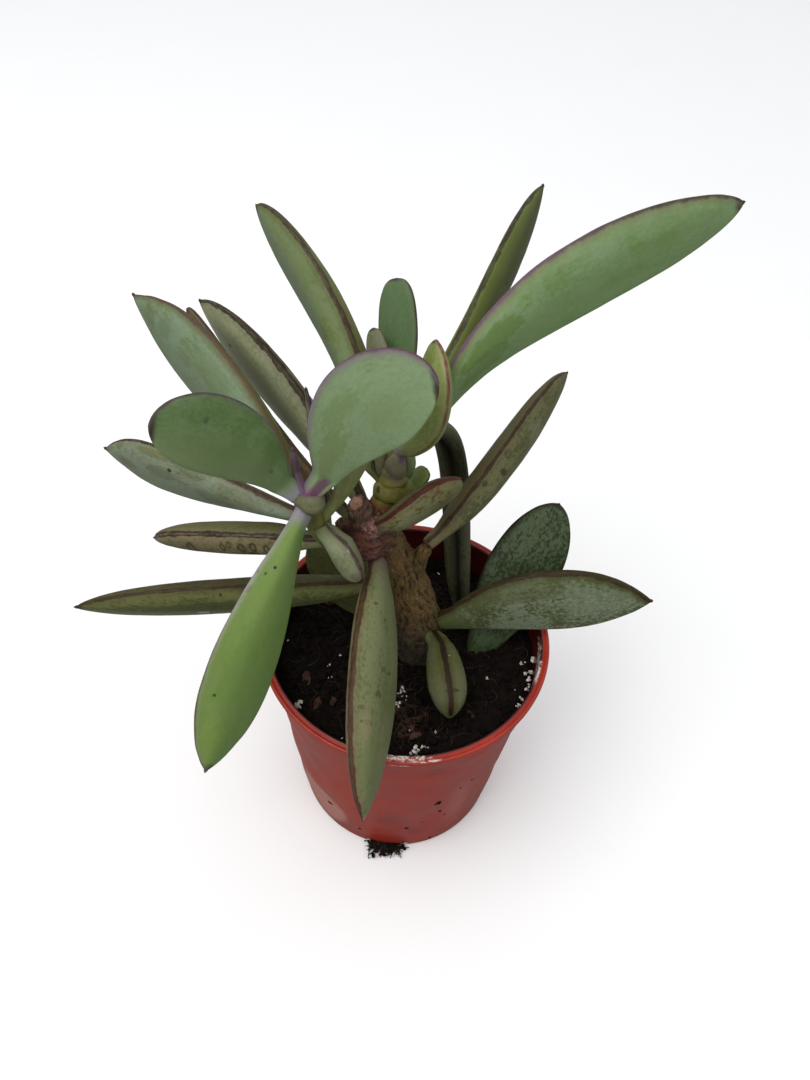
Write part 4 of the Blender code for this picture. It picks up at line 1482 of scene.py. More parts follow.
@dataclass(frozen=True)
class ShootFinish:
    """The smooth skin of a green shoot, with coloured zones on it, each a centre, a reach and a colour."""

    name: str
    green: Colour
    shade: Colour
    zones: tuple[tuple[Place, Place, Colour], ...]

    def material(self) -> bpy.types.Material:
        """Builds the shoot's material.

        Returns:
            The material.
        """
        material, graph, shader = new_material(self.name)
        place = graph.object_place()
        broad = graph.noise(graph.stretched(place, (1.0, 1.0, 2.6)), 2.6, 1.0, 4, 0.6)
        fine = graph.noise(place, 0.5, 2.0, 3, 0.6)
        colour = graph.mix(broad.ease(0.4, 0.6), self.shade, self.green)
        for centre, reach, tint in self.zones:
            colour = graph.mix(Zone(centre, reach, soft=0.3).mask(graph, place), colour, tint)
        graph.feed(shader, {
            "Base Color": graph.shaded(colour, fine.ease(0.25, 0.75, 0.86, 1.08)),
            "Roughness": broad.ease(0.3, 0.7, 0.46, 0.6),
            "Specular IOR Level": 0.35,
            **flesh(2.0, 0.1),
            "Normal": graph.bump(broad + fine, 0.35, 0.15),
        })
        return material


@dataclass(frozen=True)
class CrumbFinish:
    """A dull, grainy finish for soil, white grains, chips, fibres and roots."""

    name: str
    dark: Colour
    light: Colour
    fleck: Colour
    fleck_share: float = 0.1
    grain: float = 0.6
    roughness: float = 0.92
    depth: float = 0.3

    def material(self) -> bpy.types.Material:
        """Builds the material.

        Returns:
            The material.
        """
        material, graph, shader = new_material(self.name)
        place = graph.object_place()
        broad = graph.noise(place, self.grain * 5, 1.0, 4, 0.65)
        fine = graph.noise(place, self.grain, 6.0, 4, 0.7)
        picked = fine.ease(0.74 - 0.3 * self.fleck_share, 0.78 - 0.3 * self.fleck_share)
        graph.feed(shader, {
            "Base Color": graph.mix(
                picked, graph.mix(broad.ease(0.35, 0.65), self.dark, self.light), self.fleck,
            ),
            "Roughness": fine.ease(0.3, 0.7, self.roughness - 0.1, self.roughness),
            "Specular IOR Level": 0.12,
            "Normal": graph.bump(fine, 0.8, self.depth),
        })
        return material


@dataclass(frozen=True)
class PotFinish:
    """Thin red moulded plastic: its sheen, the dust on it, painted reflections low on its wall, painted
    shade on its inner wall, and the lime on its lip.
    """

    plastic: Colour = (170, 50, 32)
    deep: Colour = (154, 41, 27)
    # The inner wall's colour: painted shade inside the pot.
    inside: Colour = (72, 18, 15)
    # Pale pink for the dust, and for the painted reflections low on the wall.
    dust: Colour = (200, 140, 126)
    lime: Colour = (214, 196, 186)

    # Painted reflections low on the wall: broad at the front left, faint at the front right.
    HAZE: ClassVar[Zone] = Zone((-25.0, -26.0, 14.5), (11.0, 10.6, 12.0), 0.2, 0.15)
    FAINT_HAZE: ClassVar[Zone] = Zone((20.5, -31.0, 30.0), (3.4, 4.0, 16.0), 0.7, 0.8)
    LIP_LIME: ClassVar[Zone] = Zone((2.0, -40.5, 79.9), (10.0, 1.2, 0.6), 0.5, 0.15)
    LOW_LIME: ClassVar[Zone] = Zone((0.5, -42.3, 78.6), (3.6, 1.0, 0.6), 0.5, 0.15)
    INNER_LIME: ClassVar[Zone] = Zone((38.5, -10.0, 77.0), (4.0, 12.0, 3.2), 0.5, 0.15)

    def material(self) -> bpy.types.Material:
        """Builds the plastic's material.

        Returns:
            The material.
        """
        material, graph, shader = new_material("terracotta_plastic")
        place = graph.object_place()
        up = graph.split(place)[2]
        broad = graph.noise(place, 14.0, 2.0, 3, 0.5)
        fine = graph.noise(place, 0.9, 3.0, 4, 0.6)
        scuffs = graph.noise(place, (9.0, 9.0, 0.8), 5.0, 4, 0.6)
        colour = graph.mix(broad.ease(0.35, 0.65), self.deep, self.plastic)
        wall = up * 0.0875 + up.ease(66.0, 68.0, 32.7, 33.35)
        radius = graph.length(graph.vector("MULTIPLY", place, (1, 1, 0)))
        within = (radius - wall).ease(0.0, 0.6, 1.0, 0.0)
        # Painted shade: the inner wall above the soil is painted a deep dark red.
        colour = graph.mix(within, colour, self.inside)
        dusty = scuffs.ease(0.5, 0.72) * up.ease(8.0, 70.0, 0.2, 0.06)
        colour = graph.mix(dusty, colour, self.dust)
        # Painted reflection: the pale pink laid over the lower wall, broken up by the scuffs.
        painted_reflection_mask = graph.math("MAXIMUM", self.HAZE.mask(graph, place), self.FAINT_HAZE.mask(graph, place) * 0.35)
        colour = graph.mix(painted_reflection_mask * scuffs.ease(0.3, 0.7, 0.55, 0.85), colour, self.dust)
        lime = graph.math("MAXIMUM", self.LIP_LIME.mask(graph, place), self.LOW_LIME.mask(graph, place))
        lime = graph.math("MAXIMUM", lime, self.INNER_LIME.mask(graph, place) * within)
        crust = lime * graph.noise(place, 1.1, 8.0, 4, 0.7).ease(0.45, 0.53)
        graph.feed(shader, {
            "Base Color": graph.mix(crust, colour, self.lime),
            "Roughness": (crust + dusty) * 0.35 + broad.ease(0.3, 0.7, 0.3, 0.42),
            "Specular IOR Level": 0.42,
            "Subsurface Weight": 0.05,
            "Subsurface Radius": (1.0, 0.25, 0.15),
            "Subsurface Scale": 1.0 * MM,
            "Normal": graph.bump(fine * 0.35 + crust, 0.4, 0.25),
        })
        return material


def spread(*runs: tuple[float, float, int]) -> np.ndarray:
    """Evenly spaced numbers in each run, from its first to its last."""
    return np.concatenate([np.linspace(*run) for run in runs])


@dataclass(frozen=True)
class Pot:
    """The nursery pot, turned from its section, with its drain holes and its notch."""

    finish: PotFinish = PotFinish()
    rim_radius: float = 42.5
    height: float = 80.0
    foot_radius: float = 34.2
    wall: float = 1.1
    collar: float = 67.0
    collar_step: float = 0.7
    lip_width: float = 2.6
    floor_rise: float = 2.2
    foot_width: float = 4.5
    pad_radius: float = 6.0
    chamfer: float = 1.2
    sides: int = 216
    drain_radius: float = 3.0
    drain_circle: float = 20.0
    drain_count: int = 4
    drain_depth: float = 8.0
    sharp: float = 50.0
    notch: Place = (14.0, 9.9, 4.8)
    notch_x: float = -1.3

    RIDGES_AT: ClassVar[tuple[float, ...]] = (50.5, 53.5, 57.0, 60.0, 62.5)
    LIP: ClassVar[tuple[tuple[float, float], ...]] = (
        (-0.75, 77.7), (-0.3, 78.1), (-0.06, 78.6), (0.0, 79.1), (-0.12, 79.5), (-0.4, 79.78), (-0.75, 79.8),
        (-1.05, 79.55), (-1.3, 79.4), (-1.55, 79.55), (-1.8, 79.9),
    )
    INNER_LIP: ClassVar[tuple[tuple[float, float], ...]] = (
        (0.5, 80.0), (0.15, 79.85), (-0.02, 79.4), (-0.1, 78.6),
    )

    def wall_radius(self, height: float) -> float:
        """The wall's outer radius: a straight taper, with the collar standing a step out.

        Args:
            height: The height on the wall.

        Returns:
            The radius there.
        """
        top = self.rim_radius - self.lip_width / 2
        step = self.collar_step * (1 - float(smooth_step(height, self.collar - 1.2, self.collar + 0.8)))
        return self.foot_radius + (top - self.foot_radius) * height / self.height - step

    def profile(self) -> list[tuple[float, float]]:
        """The pot's section.

        Returns:
            Radius and height of each point, from under its middle, up outside and down inside.
        """
        lips, inner = self.rim_radius, self.rim_radius - self.lip_width
        pad, foot, rise = self.pad_radius, self.foot_radius - self.foot_width, self.floor_rise
        points = [(pad * share, 0.0) for share in (0.3, 0.7, 0.95)]
        points += [(pad + 0.2, 0.2), (pad + self.chamfer, rise)]
        points += [(radius, rise) for radius in (12.0, 17.0, 23.0, 27.0, foot - 0.2)]
        points += [(foot + self.chamfer, 0.0), (self.wall_radius(0) - 1.2, 0.0)]
        points += [(self.wall_radius(0) - 0.4, 0.12), (self.wall_radius(0.6) - 0.05, 0.5)]
        for height in spread((1.2, 64.0, 40), (64.8, 69.0, 12), (70.0, 77.0, 8)):
            ridge = sum(0.05 * math.exp(-(((height - at) / 0.4) ** 2)) for at in self.RIDGES_AT)
            points.append((self.wall_radius(height) + ridge, float(height)))
        points += [(lips + step, height) for step, height in self.LIP]
        points += [(inner + step, height) for step, height in self.INNER_LIP]
        for height in spread((77.0, 69.0, 6), (68.4, 65.6, 5), (62.0, 6.0, 8)):
            points.append((self.wall_radius(height) - self.wall, float(height)))
        points += [(self.wall_radius(3) - self.wall - 1.0, rise + self.wall), (15.0, rise + self.wall)]
        return points

    def wobble(self, angle: float, height: float) -> float:
        """How far the thin wall stands out of round.

        Args:
            angle: The angle round the pot, in radians.
            height: The height on the wall.

        Returns:
            The distance outwards.
        """
        place = (math.cos(angle) * 2.2, math.sin(angle) * 2.2, height / 22)
        dent = rough_at(place, 1.0, 4.0) * 0.6 + rough_at(place, 0.45, 9.0) * 0.32
        return dent * float(smooth_step(height, 3, 16)) * (1 - float(smooth_step(height, 70, 78)))

    def surface(self) -> MeshData:
        """Turns the section round Z.

        Returns:
            The pot's mesh, without its holes.
        """
        profile = self.profile()
        rings = []
        for radius, height in profile:
            ring = []
            for k in range(self.sides):
                angle = FULL_TURN * k / self.sides
                shown = radius + (self.wobble(angle, height) if radius > 30 else 0.0)
                ring.append((shown * math.cos(angle), shown * math.sin(angle), height))
            rings.append(ring)
        count = len(rings) * self.sides
        points = np.concatenate([np.array(rings).reshape(-1, 3), [(0, 0, 0), (0, 0, profile[-1][1])]])
        return MeshData(points, ring_faces(len(rings), self.sides, count, count + 1))

    def cutters(self) -> bpy.types.Collection:
        """Makes the helpers that cut the drain holes and the notch.

        Returns:
            The helpers' collection.
        """
        group = bpy.data.collections.new("pot_cutters")
        bpy.context.scene.collection.children.link(group)
        radius, depth = self.drain_radius * MM, self.drain_depth * MM
        notch = Matrix.Diagonal((*(side * MM for side in self.notch), 1.0))
        for number in range(self.drain_count + 1):
            builder = bmesh.new()
            if number < self.drain_count:
                bmesh.ops.create_cone(
                    builder, cap_ends=True, segments=32, radius1=radius, radius2=radius, depth=depth,
                )
                angle = math.pi / 4 + FULL_TURN * number / self.drain_count
                x, y = self.drain_circle * math.cos(angle), self.drain_circle * math.sin(angle)
                middle = (x, y, self.floor_rise)
            else:
                bmesh.ops.create_cube(builder, size=1.0, matrix=notch)
                middle = (self.notch_x, self.foot_width / 2 - self.foot_radius, 0)
            bmesh.ops.translate(builder, verts=builder.verts, vec=Vector(middle) * MM)
            mesh = bpy.data.meshes.new(f"cutter_{number}")
            builder.to_mesh(mesh)
            builder.free()
            group.objects.link(bpy.data.objects.new(mesh.name, mesh))
        return group

    def build(self) -> None:
        """Makes the pot and dresses it."""
        piece = add_piece("pot_shell", self.surface(), self.finish.material(), ("pot",))
        piece.data.set_sharp_from_angle(angle=math.radians(self.sharp))
        group = self.cutters()
        cut = piece.modifiers.new("Cut", "BOOLEAN")
        cut.operation = "DIFFERENCE"
        cut.solver = "EXACT"
        cut.operand_type = "COLLECTION"
        cut.collection = group
        apply_modifiers(piece)
        for helper in list(group.objects):
            bpy.data.objects.remove(helper, do_unlink=True)
        bpy.data.collections.remove(group)


def apply_modifiers(piece: bpy.types.Object) -> None:
    """Applies a piece's modifiers to its mesh, and keeps its material.

    Args:
        piece: The object.
    """
    material = piece.data.materials[0] if piece.data.materials else None
    graph = bpy.context.evaluated_depsgraph_get()
    mesh = bpy.data.meshes.new_from_object(piece.evaluated_get(graph))
    piece.modifiers.clear()
    old = piece.data
    piece.data = mesh
    bpy.data.meshes.remove(old)
    mesh.name = piece.name
    mesh.materials.clear()
    if material:
        mesh.materials.append(material)


@dataclass(frozen=True)
class Soil:
    """The peat in the pot, and the crumbs, white grains, chips and fibres that lie on it."""

    # The peat's near-black colours are its own dark colour, darkened further as painted shade under the
    # foliage.
    peat: CrumbFinish = CrumbFinish("potting_soil", (9, 5, 4), (22, 14, 10), (60, 38, 26), 0.12, 0.45)
    white: CrumbFinish = CrumbFinish(
        "perlite", (196, 186, 176), (228, 222, 214), (150, 132, 118), 0.15, 0.35, 0.85, 0.2,
    )
    chip: CrumbFinish = CrumbFinish("bark_chip", (48, 32, 25), (84, 60, 47), (110, 84, 68), 0.12, 0.4)
    fibre: CrumbFinish = CrumbFinish("peat_fibre", (40, 29, 21), (84, 64, 48), (126, 106, 86), 0.15, 0.5)
    level: float = 70.5
    tilt_x: float = 0.035
    tilt_y: float = -0.05
    lump_height: float = 1.0
    radius: float = 39.0
    waist: float = 65.8
    waist_radius: float = 37.9
    floor: float = 3.65
    floor_radius: float = 31.4
    rings: int = 84
    sides: int = 200
    crumbs: int = 1100
    fibres: int = 240
    stray_whites: int = 26
    tangle: int = 60
    tangle_at: tuple[float, float] = (2.5, -23.0)
    crumb_reach: float = 37.8
    fibre_reach: float = 35.0
    fibre_limit: float = 37.5
    stray_reach: float = 36.0
    trunk_at: tuple[float, float] = (4.0, 1.0)
    trunk_clear: float = 8.0

    CRUMB_SEED: ClassVar[int] = 11
    FIBRE_SEED: ClassVar[int] = 23
    WHITE_SEED: ClassVar[int] = 5
    CHIP_SEED: ClassVar[int] = 8

    WHITES: ClassVar[tuple[tuple[float, float, float], ...]] = (
        (-29.5, -22.0, 1.0), (-30.0, -23.6, 0.8), (-29.0, -20.6, 0.7), (0.4, -16.2, 0.8), (0.9, -17.6, 0.6),
        (-0.2, -14.9, 0.5),
        (4.3, -34.9, 1.0), (5.8, -34.4, 0.9), (7.6, -34.0, 0.6), (3.2, -27.6, 0.5), (-0.6, -20.3, 0.6),
        (39.0, -1.5, 0.8),
        (37.2, -6.0, 0.9), (37.4, -8.4, 0.8), (36.6, -11.0, 0.7), (35.0, -15.0, 0.7), (33.6, -18.0, 0.6),
        (36.0, -3.0, 0.6),
        (26.0, -27.6, 0.6), (20.5, -32.2, 0.5), (-20.5, -8.0, 0.35), (11.5, -37.0, 0.6),
    )
    CHIPS: ClassVar[tuple[tuple[float, float, float, float], ...]] = (
        (-23.6, -20.8, 2.3, 60.0), (-19.4, -20.4, 2.2, 85.0), (-28.0, -13.5, 3.0, 100.0),
        (3.1, -26.6, 2.2, 120.0),
        (5.0, -29.4, 2.4, 40.0), (20.0, -22.0, 1.6, 130.0), (28.0, 5.0, 2.0, 20.0), (-8.0, 20.0, 2.6, 70.0),
        (-24.0, 16.0, 2.2, 10.0),
    )

    def height(self, x: float, y: float) -> float:
        """The surface's broad height at a place."""
        lumps = noise.noise(Vector((x, y, 20)) / 9) + 0.5 * noise.noise(Vector((x, y, 300)) / 4)
        return self.level + self.tilt_x * x + self.tilt_y * y + self.lump_height * lumps

    def fine_height(self, x: float, y: float) -> float:
        """The surface's height with its clods and grains.

        Args:
            x: The place's x.
            y: The place's y.

        Returns:
            The height there.
        """
        clod = abs(noise.noise(Vector((x, y, 3)) / 2.2)) * 1.3 + noise.noise(Vector((x, y, 8)) / 0.9) * 0.5
        rise = 1.4 * float(smooth_step(math.hypot(x, y), 36.0, 39.0))
        return self.height(x, y) + clod - 0.4 - rise

    def surface(self) -> MeshData:
        """Makes the peat's body, closed below and at its sides.

        Returns:
            The body's mesh.
        """
        shape = []
        for i in range(self.rings, 0, -1):
            ring = []
            reach = self.radius * (i / self.rings) ** 0.8
            for k in range(self.sides):
                angle = FULL_TURN * (k + 0.5 * (i % 2)) / self.sides
                x, y = reach * math.cos(angle), reach * math.sin(angle)
                ring.append((x, y, self.fine_height(x, y)))
            shape.append(ring)
        lower = []
        sides = (
            (self.floor_radius, self.floor), (self.waist_radius, self.waist),
            (self.radius - 0.2, self.waist + 1.6),
        )
        for radius, height in sides:
            angles = [FULL_TURN * (k + 0.5 * (self.rings % 2)) / self.sides for k in range(self.sides)]
            lower.append([(radius * math.cos(a), radius * math.sin(a), height) for a in angles])
        rings = [*lower, *shape]
        points = np.concatenate(
            [np.array(rings).reshape(-1, 3), [(0, 0, self.floor), (0, 0, self.fine_height(0, 0))]]
        )
        count = len(rings) * self.sides
        return MeshData(points, ring_faces(len(rings), self.sides, count, count + 1))

    def free_spot(self, rng: np.random.Generator, reach: float) -> tuple[float, float]:
        """A random place on the soil that is clear of the trunk.

        Args:
            rng: The random numbers.
            reach: How far from the axis it may be.

        Returns:
            The place's x and y.
        """
        while True:
            x, y = rng.uniform(-reach, reach, 2)
            from_trunk = math.hypot(x - self.trunk_at[0], y - self.trunk_at[1])
            if math.hypot(x, y) < reach and from_trunk > self.trunk_clear:
                return float(x), float(y)

    def crumb_lumps(self) -> MeshData:
        """Strews rough crumbs of peat on the surface.

        Returns:
            The crumbs' mesh.
        """
        rng = np.random.default_rng(self.CRUMB_SEED)
        parts = []
        for number in range(self.crumbs):
            x, y = self.free_spot(rng, self.crumb_reach)
            size = 0.35 + 1.0 * rng.random() ** 3
            sizes = size * rng.uniform(0.6, 1.2, 3)
            place = np.array((x, y, self.fine_height(x, y) + 0.25 * size))
            parts.append(lump(place, sizes, turned_matrix(rng), 0.55, number * 0.37, 1 if size < 0.9 else 2))
        return joined(parts)

    def fibre_tubes(self) -> MeshData:
        """Lays fine fibres that curl over the surface.

        Returns:
            The fibres' mesh.
        """
        rng = np.random.default_rng(self.FIBRE_SEED)
        parts = []
        for number in range(self.fibres + self.tangle):
            x, y = self.free_spot(rng, self.fibre_reach)
            if number >= self.fibres:
                x, y = self.tangle_at[0] + 0.12 * x, self.tangle_at[1] + 0.25 * y
            heading, curl = rng.uniform(0, FULL_TURN), rng.normal(0, 0.25)
            steps = int(rng.integers(5, 14))
            path = []
            for step in range(steps):
                lift = 0.35 + 0.5 * math.sin(math.pi * step / (steps - 1)) * rng.uniform(0.6, 1.0)
                path.append((x, y, self.fine_height(x, y) + lift))
                heading += curl + rng.normal(0, 0.18)
                x, y = x + 0.75 * math.cos(heading), y + 0.75 * math.sin(heading)
                if math.hypot(x, y) > self.fibre_limit:
                    break
            if len(path) > 3:
                thick = rng.uniform(0.04, 0.1) if number < self.fibres else rng.uniform(0.07, 0.16)
                parts.append(tube(np.array(path), np.linspace(thick, 0.4 * thick, len(path)), 5))
        return joined(parts)

    def white_grains(self) -> MeshData:
        """Places the white grains that show, and a few strays.

        Returns:
            The grains' mesh.
        """
        rng = np.random.default_rng(self.WHITE_SEED)
        parts = []
        spots = list(self.WHITES)
        for _ in range(self.stray_whites):
            x, y = self.free_spot(rng, self.stray_reach)
            spots.append((x, y, float(rng.uniform(0.15, 0.38))))
        for number, (x, y, size) in enumerate(spots):
            for _ in range(4):
                dx, dy = rng.normal(0, 0.8 * size, 2)
                place = np.array((x + dx, y + dy, self.fine_height(x + dx, y + dy) + 0.5 * size))
                parts.append(
                    lump(place, size * rng.uniform(0.3, 0.75, 3), turned_matrix(rng), 0.7, number * 1.3, 2)
                )
        return joined(parts)

    def bark_chips(self) -> MeshData:
        """Lays flat splinters of bark.

        Returns:
            The splinters' mesh.
        """
        rng = np.random.default_rng(self.CHIP_SEED)
        parts = []
        for number, (x, y, size, turn) in enumerate(self.CHIPS):
            tilt = Matrix.Rotation(float(rng.uniform(-0.3, 0.3)), 3, "Y")
            lean = Matrix.Rotation(math.radians(turn), 3, "Z") @ tilt
            place = np.array((x, y, self.fine_height(x, y) + 0.5))
            parts.append(lump(place, np.array((size, 0.4 * size, 0.35)), lean, 0.5, number * 2.1, 2))
        return joined(parts)

    def build(self) -> None:
        """Makes the soil and what lies on it, and dresses them."""
        add_piece("soil_bed", self.surface(), self.peat.material(), ("soil",))
        add_piece("soil_crumbs", self.crumb_lumps(), self.peat.material())
        add_piece("soil_fibres", self.fibre_tubes(), self.fibre.material())
        add_piece("soil_white_grains", self.white_grains(), self.white.material())
        add_piece("soil_bark_chips", self.bark_chips(), self.chip.material())


@dataclass(frozen=True)
class Trunk:
    """The barked trunk with its stub and fork, remeshed in one and roughened along its fibres."""

    finish: BarkFinish = BarkFinish()
    grid: float = 0.37
    fibre_depth: float = 0.42
    lump_depth: float = 0.5

    KNOBS: ClassVar[tuple[tuple[Place, float, float], ...]] = (
        ((-10.0, -2.0, 117.0), 2.4, 1.0), ((-6.5, 0.0, 114.0), 2.2, 0.8), ((-14.5, 0.5, 114.5), 2.4, 0.9),
        ((-11.0, -0.5, 110.5), 2.6, 0.8),
        ((-4.5, 4.0, 119.0), 2.0, 0.9), ((-16.0, 3.0, 118.5), 2.0, 0.7), ((-8.0, 8.5, 121.5), 3.0, 0.9),
        ((-2.0, 1.5, 100.0), 1.8, 0.5), ((0.5, 11.5, 92.0), 2.0, 0.6), ((9.0, 5.0, 80.0), 2.2, 0.5),
        ((-3.5, 0.5, 86.0), 2.0, 0.5),
    )
    BURRS: ClassVar[tuple[tuple[Place, Place], ...]] = (
        ((-11.6, 0.8, 117.6), (6.0, 5.4, 5.2)), ((-10.3, 1.4, 122.6), (3.7, 3.4, 3.4)),
        ((-7.4, 6.0, 123.6), (4.0, 3.8, 3.0)),
        ((-14.2, 1.6, 121.4), (3.0, 2.8, 3.4)), ((-18.0, 2.8, 121.2), (2.5, 2.2, 2.3)),
    )
    CUT_AT: ClassVar[Place] = (-14.0, 3.4, 127.2)
    CUT_FACING: ClassVar[Place] = (0.07, -0.62, 0.78)
    PITH_STEP: ClassVar[Place] = (-1.0, 0.5, 1.2)

    def cut_end(self) -> list[MeshData]:
        """The stub's cut end: a thick ring of bark round a dome of pith.

        Returns:
            The ring's lumps, and the dome.
        """
        turn = Vector(self.CUT_FACING).to_track_quat("Z", "Y").to_matrix()
        middle = np.array(self.CUT_AT)
        pith = middle + np.array(self.PITH_STEP)
        shapes = [lump(pith, np.array((1.45, 1.45, 1.2)), turn, 0.14, 2.0, 3)]
        for count, centre, reach, size in (
            (26, middle, 2.8, 0.75), (20, (middle + pith) / 2, 2.1, 0.6), (14, pith, 1.6, 0.4),
        ):
            for k in range(count):
                angle = FULL_TURN * k / count
                out = Vector((math.cos(angle), math.sin(angle), 0)) * reach
                sizes = np.array((size, size, 1.3 * size))
                shapes.append(lump(centre + np.array(turn @ out), sizes, turn, 0.45, 0.6 * k + count, 2))
        return shapes

    def limb(self, stem: Stem, count: int, flare: float = 0.0) -> MeshData:
        """Makes a smooth tube along one limb.

        Args:
            stem: The limb's axis and radii.
            count: How many rings it has.
            flare: How much wider it is near its foot, as a share.

        Returns:
            The limb's mesh.
        """
        places, directions, radii = stem.line(count)
        swell = 1 + flare * np.exp(-((np.linspace(0, 1, count) - 0.12) / 0.14) ** 2)
        places = np.concatenate([places, places[-1:] + directions[-1:] * radii[-1] * 0.3])
        radii = np.concatenate([radii * swell, radii[-1:] * 0.72])
        return tube(places, radii, 40)

    def nearest(self, points: np.ndarray) -> tuple[np.ndarray, np.ndarray]:
        """Finds the axis near each point.

        Args:
            points: The points to look from.

        Returns:
            The step from the axis to each point, and the length along the limb there.
        """
        best = np.full(len(points), np.inf)
        steps, runs = np.zeros_like(points), np.zeros(len(points))
        for offset, stem in ((0.0, TRUNK), (200.0, STUB), (300.0, FORK)):
            places, _, radii = stem.line(80)
            run = np.concatenate([[0], np.cumsum(np.linalg.norm(np.diff(places, axis=0), axis=1))])
            for place, radius, length in zip(places, radii, run):
                away = points - place
                distance = np.linalg.norm(away, axis=1) / radius
                closer = distance < best
                best[closer] = distance[closer]
                steps[closer] = away[closer]
                runs[closer] = length + offset
        return steps, runs

    def relief(self, points: np.ndarray) -> np.ndarray:
        """Works out the bark's ridges, creases, lumps and knobs.

        Args:
            points: Points on the smooth limbs.

        Returns:
            How far the bark stands out at each.
        """
        steps, runs = self.nearest(points)
        around = unit(steps) * 6.5
        out = np.zeros(len(points))
        for i, (place, turn, run) in enumerate(zip(points, around, runs)):
            bent = rough_at(place, 6.0, 2.0) * 1.5
            ridge = 1 - 2 * abs(rough_at((turn[0] + bent, turn[1] + bent, turn[2] + run / 5), 1.2, 3.0))
            crease = max(0.0, 1 - 6 * abs(rough_at((turn[0] * 0.4, turn[1] * 0.4, run + bent), 3.4, 6.0)))
            swell = self.lump_depth * (rough_at(place, 4.5, 1.0) - 0.25)
            out[i] = self.fibre_depth * (ridge - 0.75) - 0.28 * crease + swell
        for centre, reach, rise in self.KNOBS:
            distance = np.linalg.norm(points - np.array(centre), axis=1) / reach
            out += rise * np.exp(-(distance ** 2) * 1.6) * np.where(distance < 2.5, 1, 0)
        return out

    def build(self) -> None:
        """Makes the trunk and dresses it."""
        material = self.finish.material()
        burrs = [
            lump(np.array(middle), np.array(sizes), Matrix.Identity(3), 0.12, number * 1.7, 3)
            for number, (middle, sizes) in enumerate(self.BURRS)
        ]
        slim = replace(FORK, radii=(3.9, 2.8, 1.9))
        limbs = joined(
            [self.limb(TRUNK, 90, 0.06), self.limb(STUB, 20), self.limb(slim, 30), *burrs, *self.cut_end()]
        )
        piece = add_piece("trunk_bark", limbs, material, ("trunk",))
        remesh = piece.modifiers.new("Remesh", "REMESH")
        remesh.mode = "VOXEL"
        remesh.voxel_size = self.grid * MM
        calm = piece.modifiers.new("Smooth", "SMOOTH")
        calm.factor = 0.5
        calm.iterations = 3
        apply_modifiers(piece)
        mesh = piece.data
        points = np.zeros(len(mesh.vertices) * 3)
        normals = np.zeros(len(mesh.vertices) * 3, np.float32)
        mesh.vertices.foreach_get("co", points)
        mesh.vertex_normals.foreach_get("vector", normals)
        points = points.reshape(-1, 3) / MM
        points = points + normals.reshape(-1, 3) * self.relief(points)[:, None]
        mesh.vertices.foreach_set("co", (points * MM).ravel())
        mesh.shade_smooth()
        mesh.update()
        log.info("trunk_bark: %d faces after remeshing", len(mesh.polygons))


@dataclass(frozen=True)
class Shoot:
    """A green shoot, with swollen nodes, and the sheaths and stalk ends that clasp it, each a middle and
    half sizes."""

    name: str
    stem: Stem
    finish: ShootFinish
    rings: tuple[tuple[float, float], ...] = ()
    sheaths: tuple[tuple[Place, Place], ...] = ()
    start_reach: float = 2.2

    STATIONS: ClassVar[int] = 110
    SIDES: ClassVar[int] = 48

    def surface(self) -> MeshData:
        """Lofts the shoot, sunk into the trunk at its start.

        Returns:
            The shoot's mesh, with its sheaths.
        """
        places, directions, radii = self.stem.line(self.STATIONS)
        shares = np.linspace(0, 1, self.STATIONS)
        for at, depth in self.rings:
            radii = radii + depth * np.exp(-(((shares - at) / 0.03) ** 2))
            radii = radii - 0.5 * depth * np.exp(-(((shares - at - 0.06) / 0.02) ** 2))
        places = np.concatenate([places[:1] - directions[:1] * self.start_reach, places])
        directions = np.concatenate([directions[:1], directions])
        radii = np.concatenate([radii[:1], radii])
        tops = [places[-1:] + directions[-1:] * radii[-1] * share for share in (0.25, 0.42)]
        places = np.concatenate([places, *tops])
        radii = np.concatenate([radii, [radii[-1] * 0.85, radii[-1] * 0.45]])
        data = tube(places, radii, self.SIDES)
        shift = np.array([0.22 * rough_at(p, 2.6, 3.0) + 0.08 * rough_at(p, 0.8, 5.0) for p in data.points])
        count = len(places) * self.SIDES
        middles = np.repeat(places, self.SIDES, axis=0)
        moved = data.points.copy()
        moved[:count] += unit(data.points[:count] - middles + 1e-9) * shift[:count, None]
        clasping = [
            lump(np.array(middle), np.array(sizes), Matrix.Identity(3), 0.12, number * 2.3, 4)
            for number, (middle, sizes) in enumerate(self.sheaths)
        ]
        return joined([MeshData(moved, data.faces), *clasping])

    def build(self) -> None:
        """Makes the shoot and dresses it."""
        add_piece(f"{self.name}_stem", self.surface(), self.finish.material(), (self.name,))


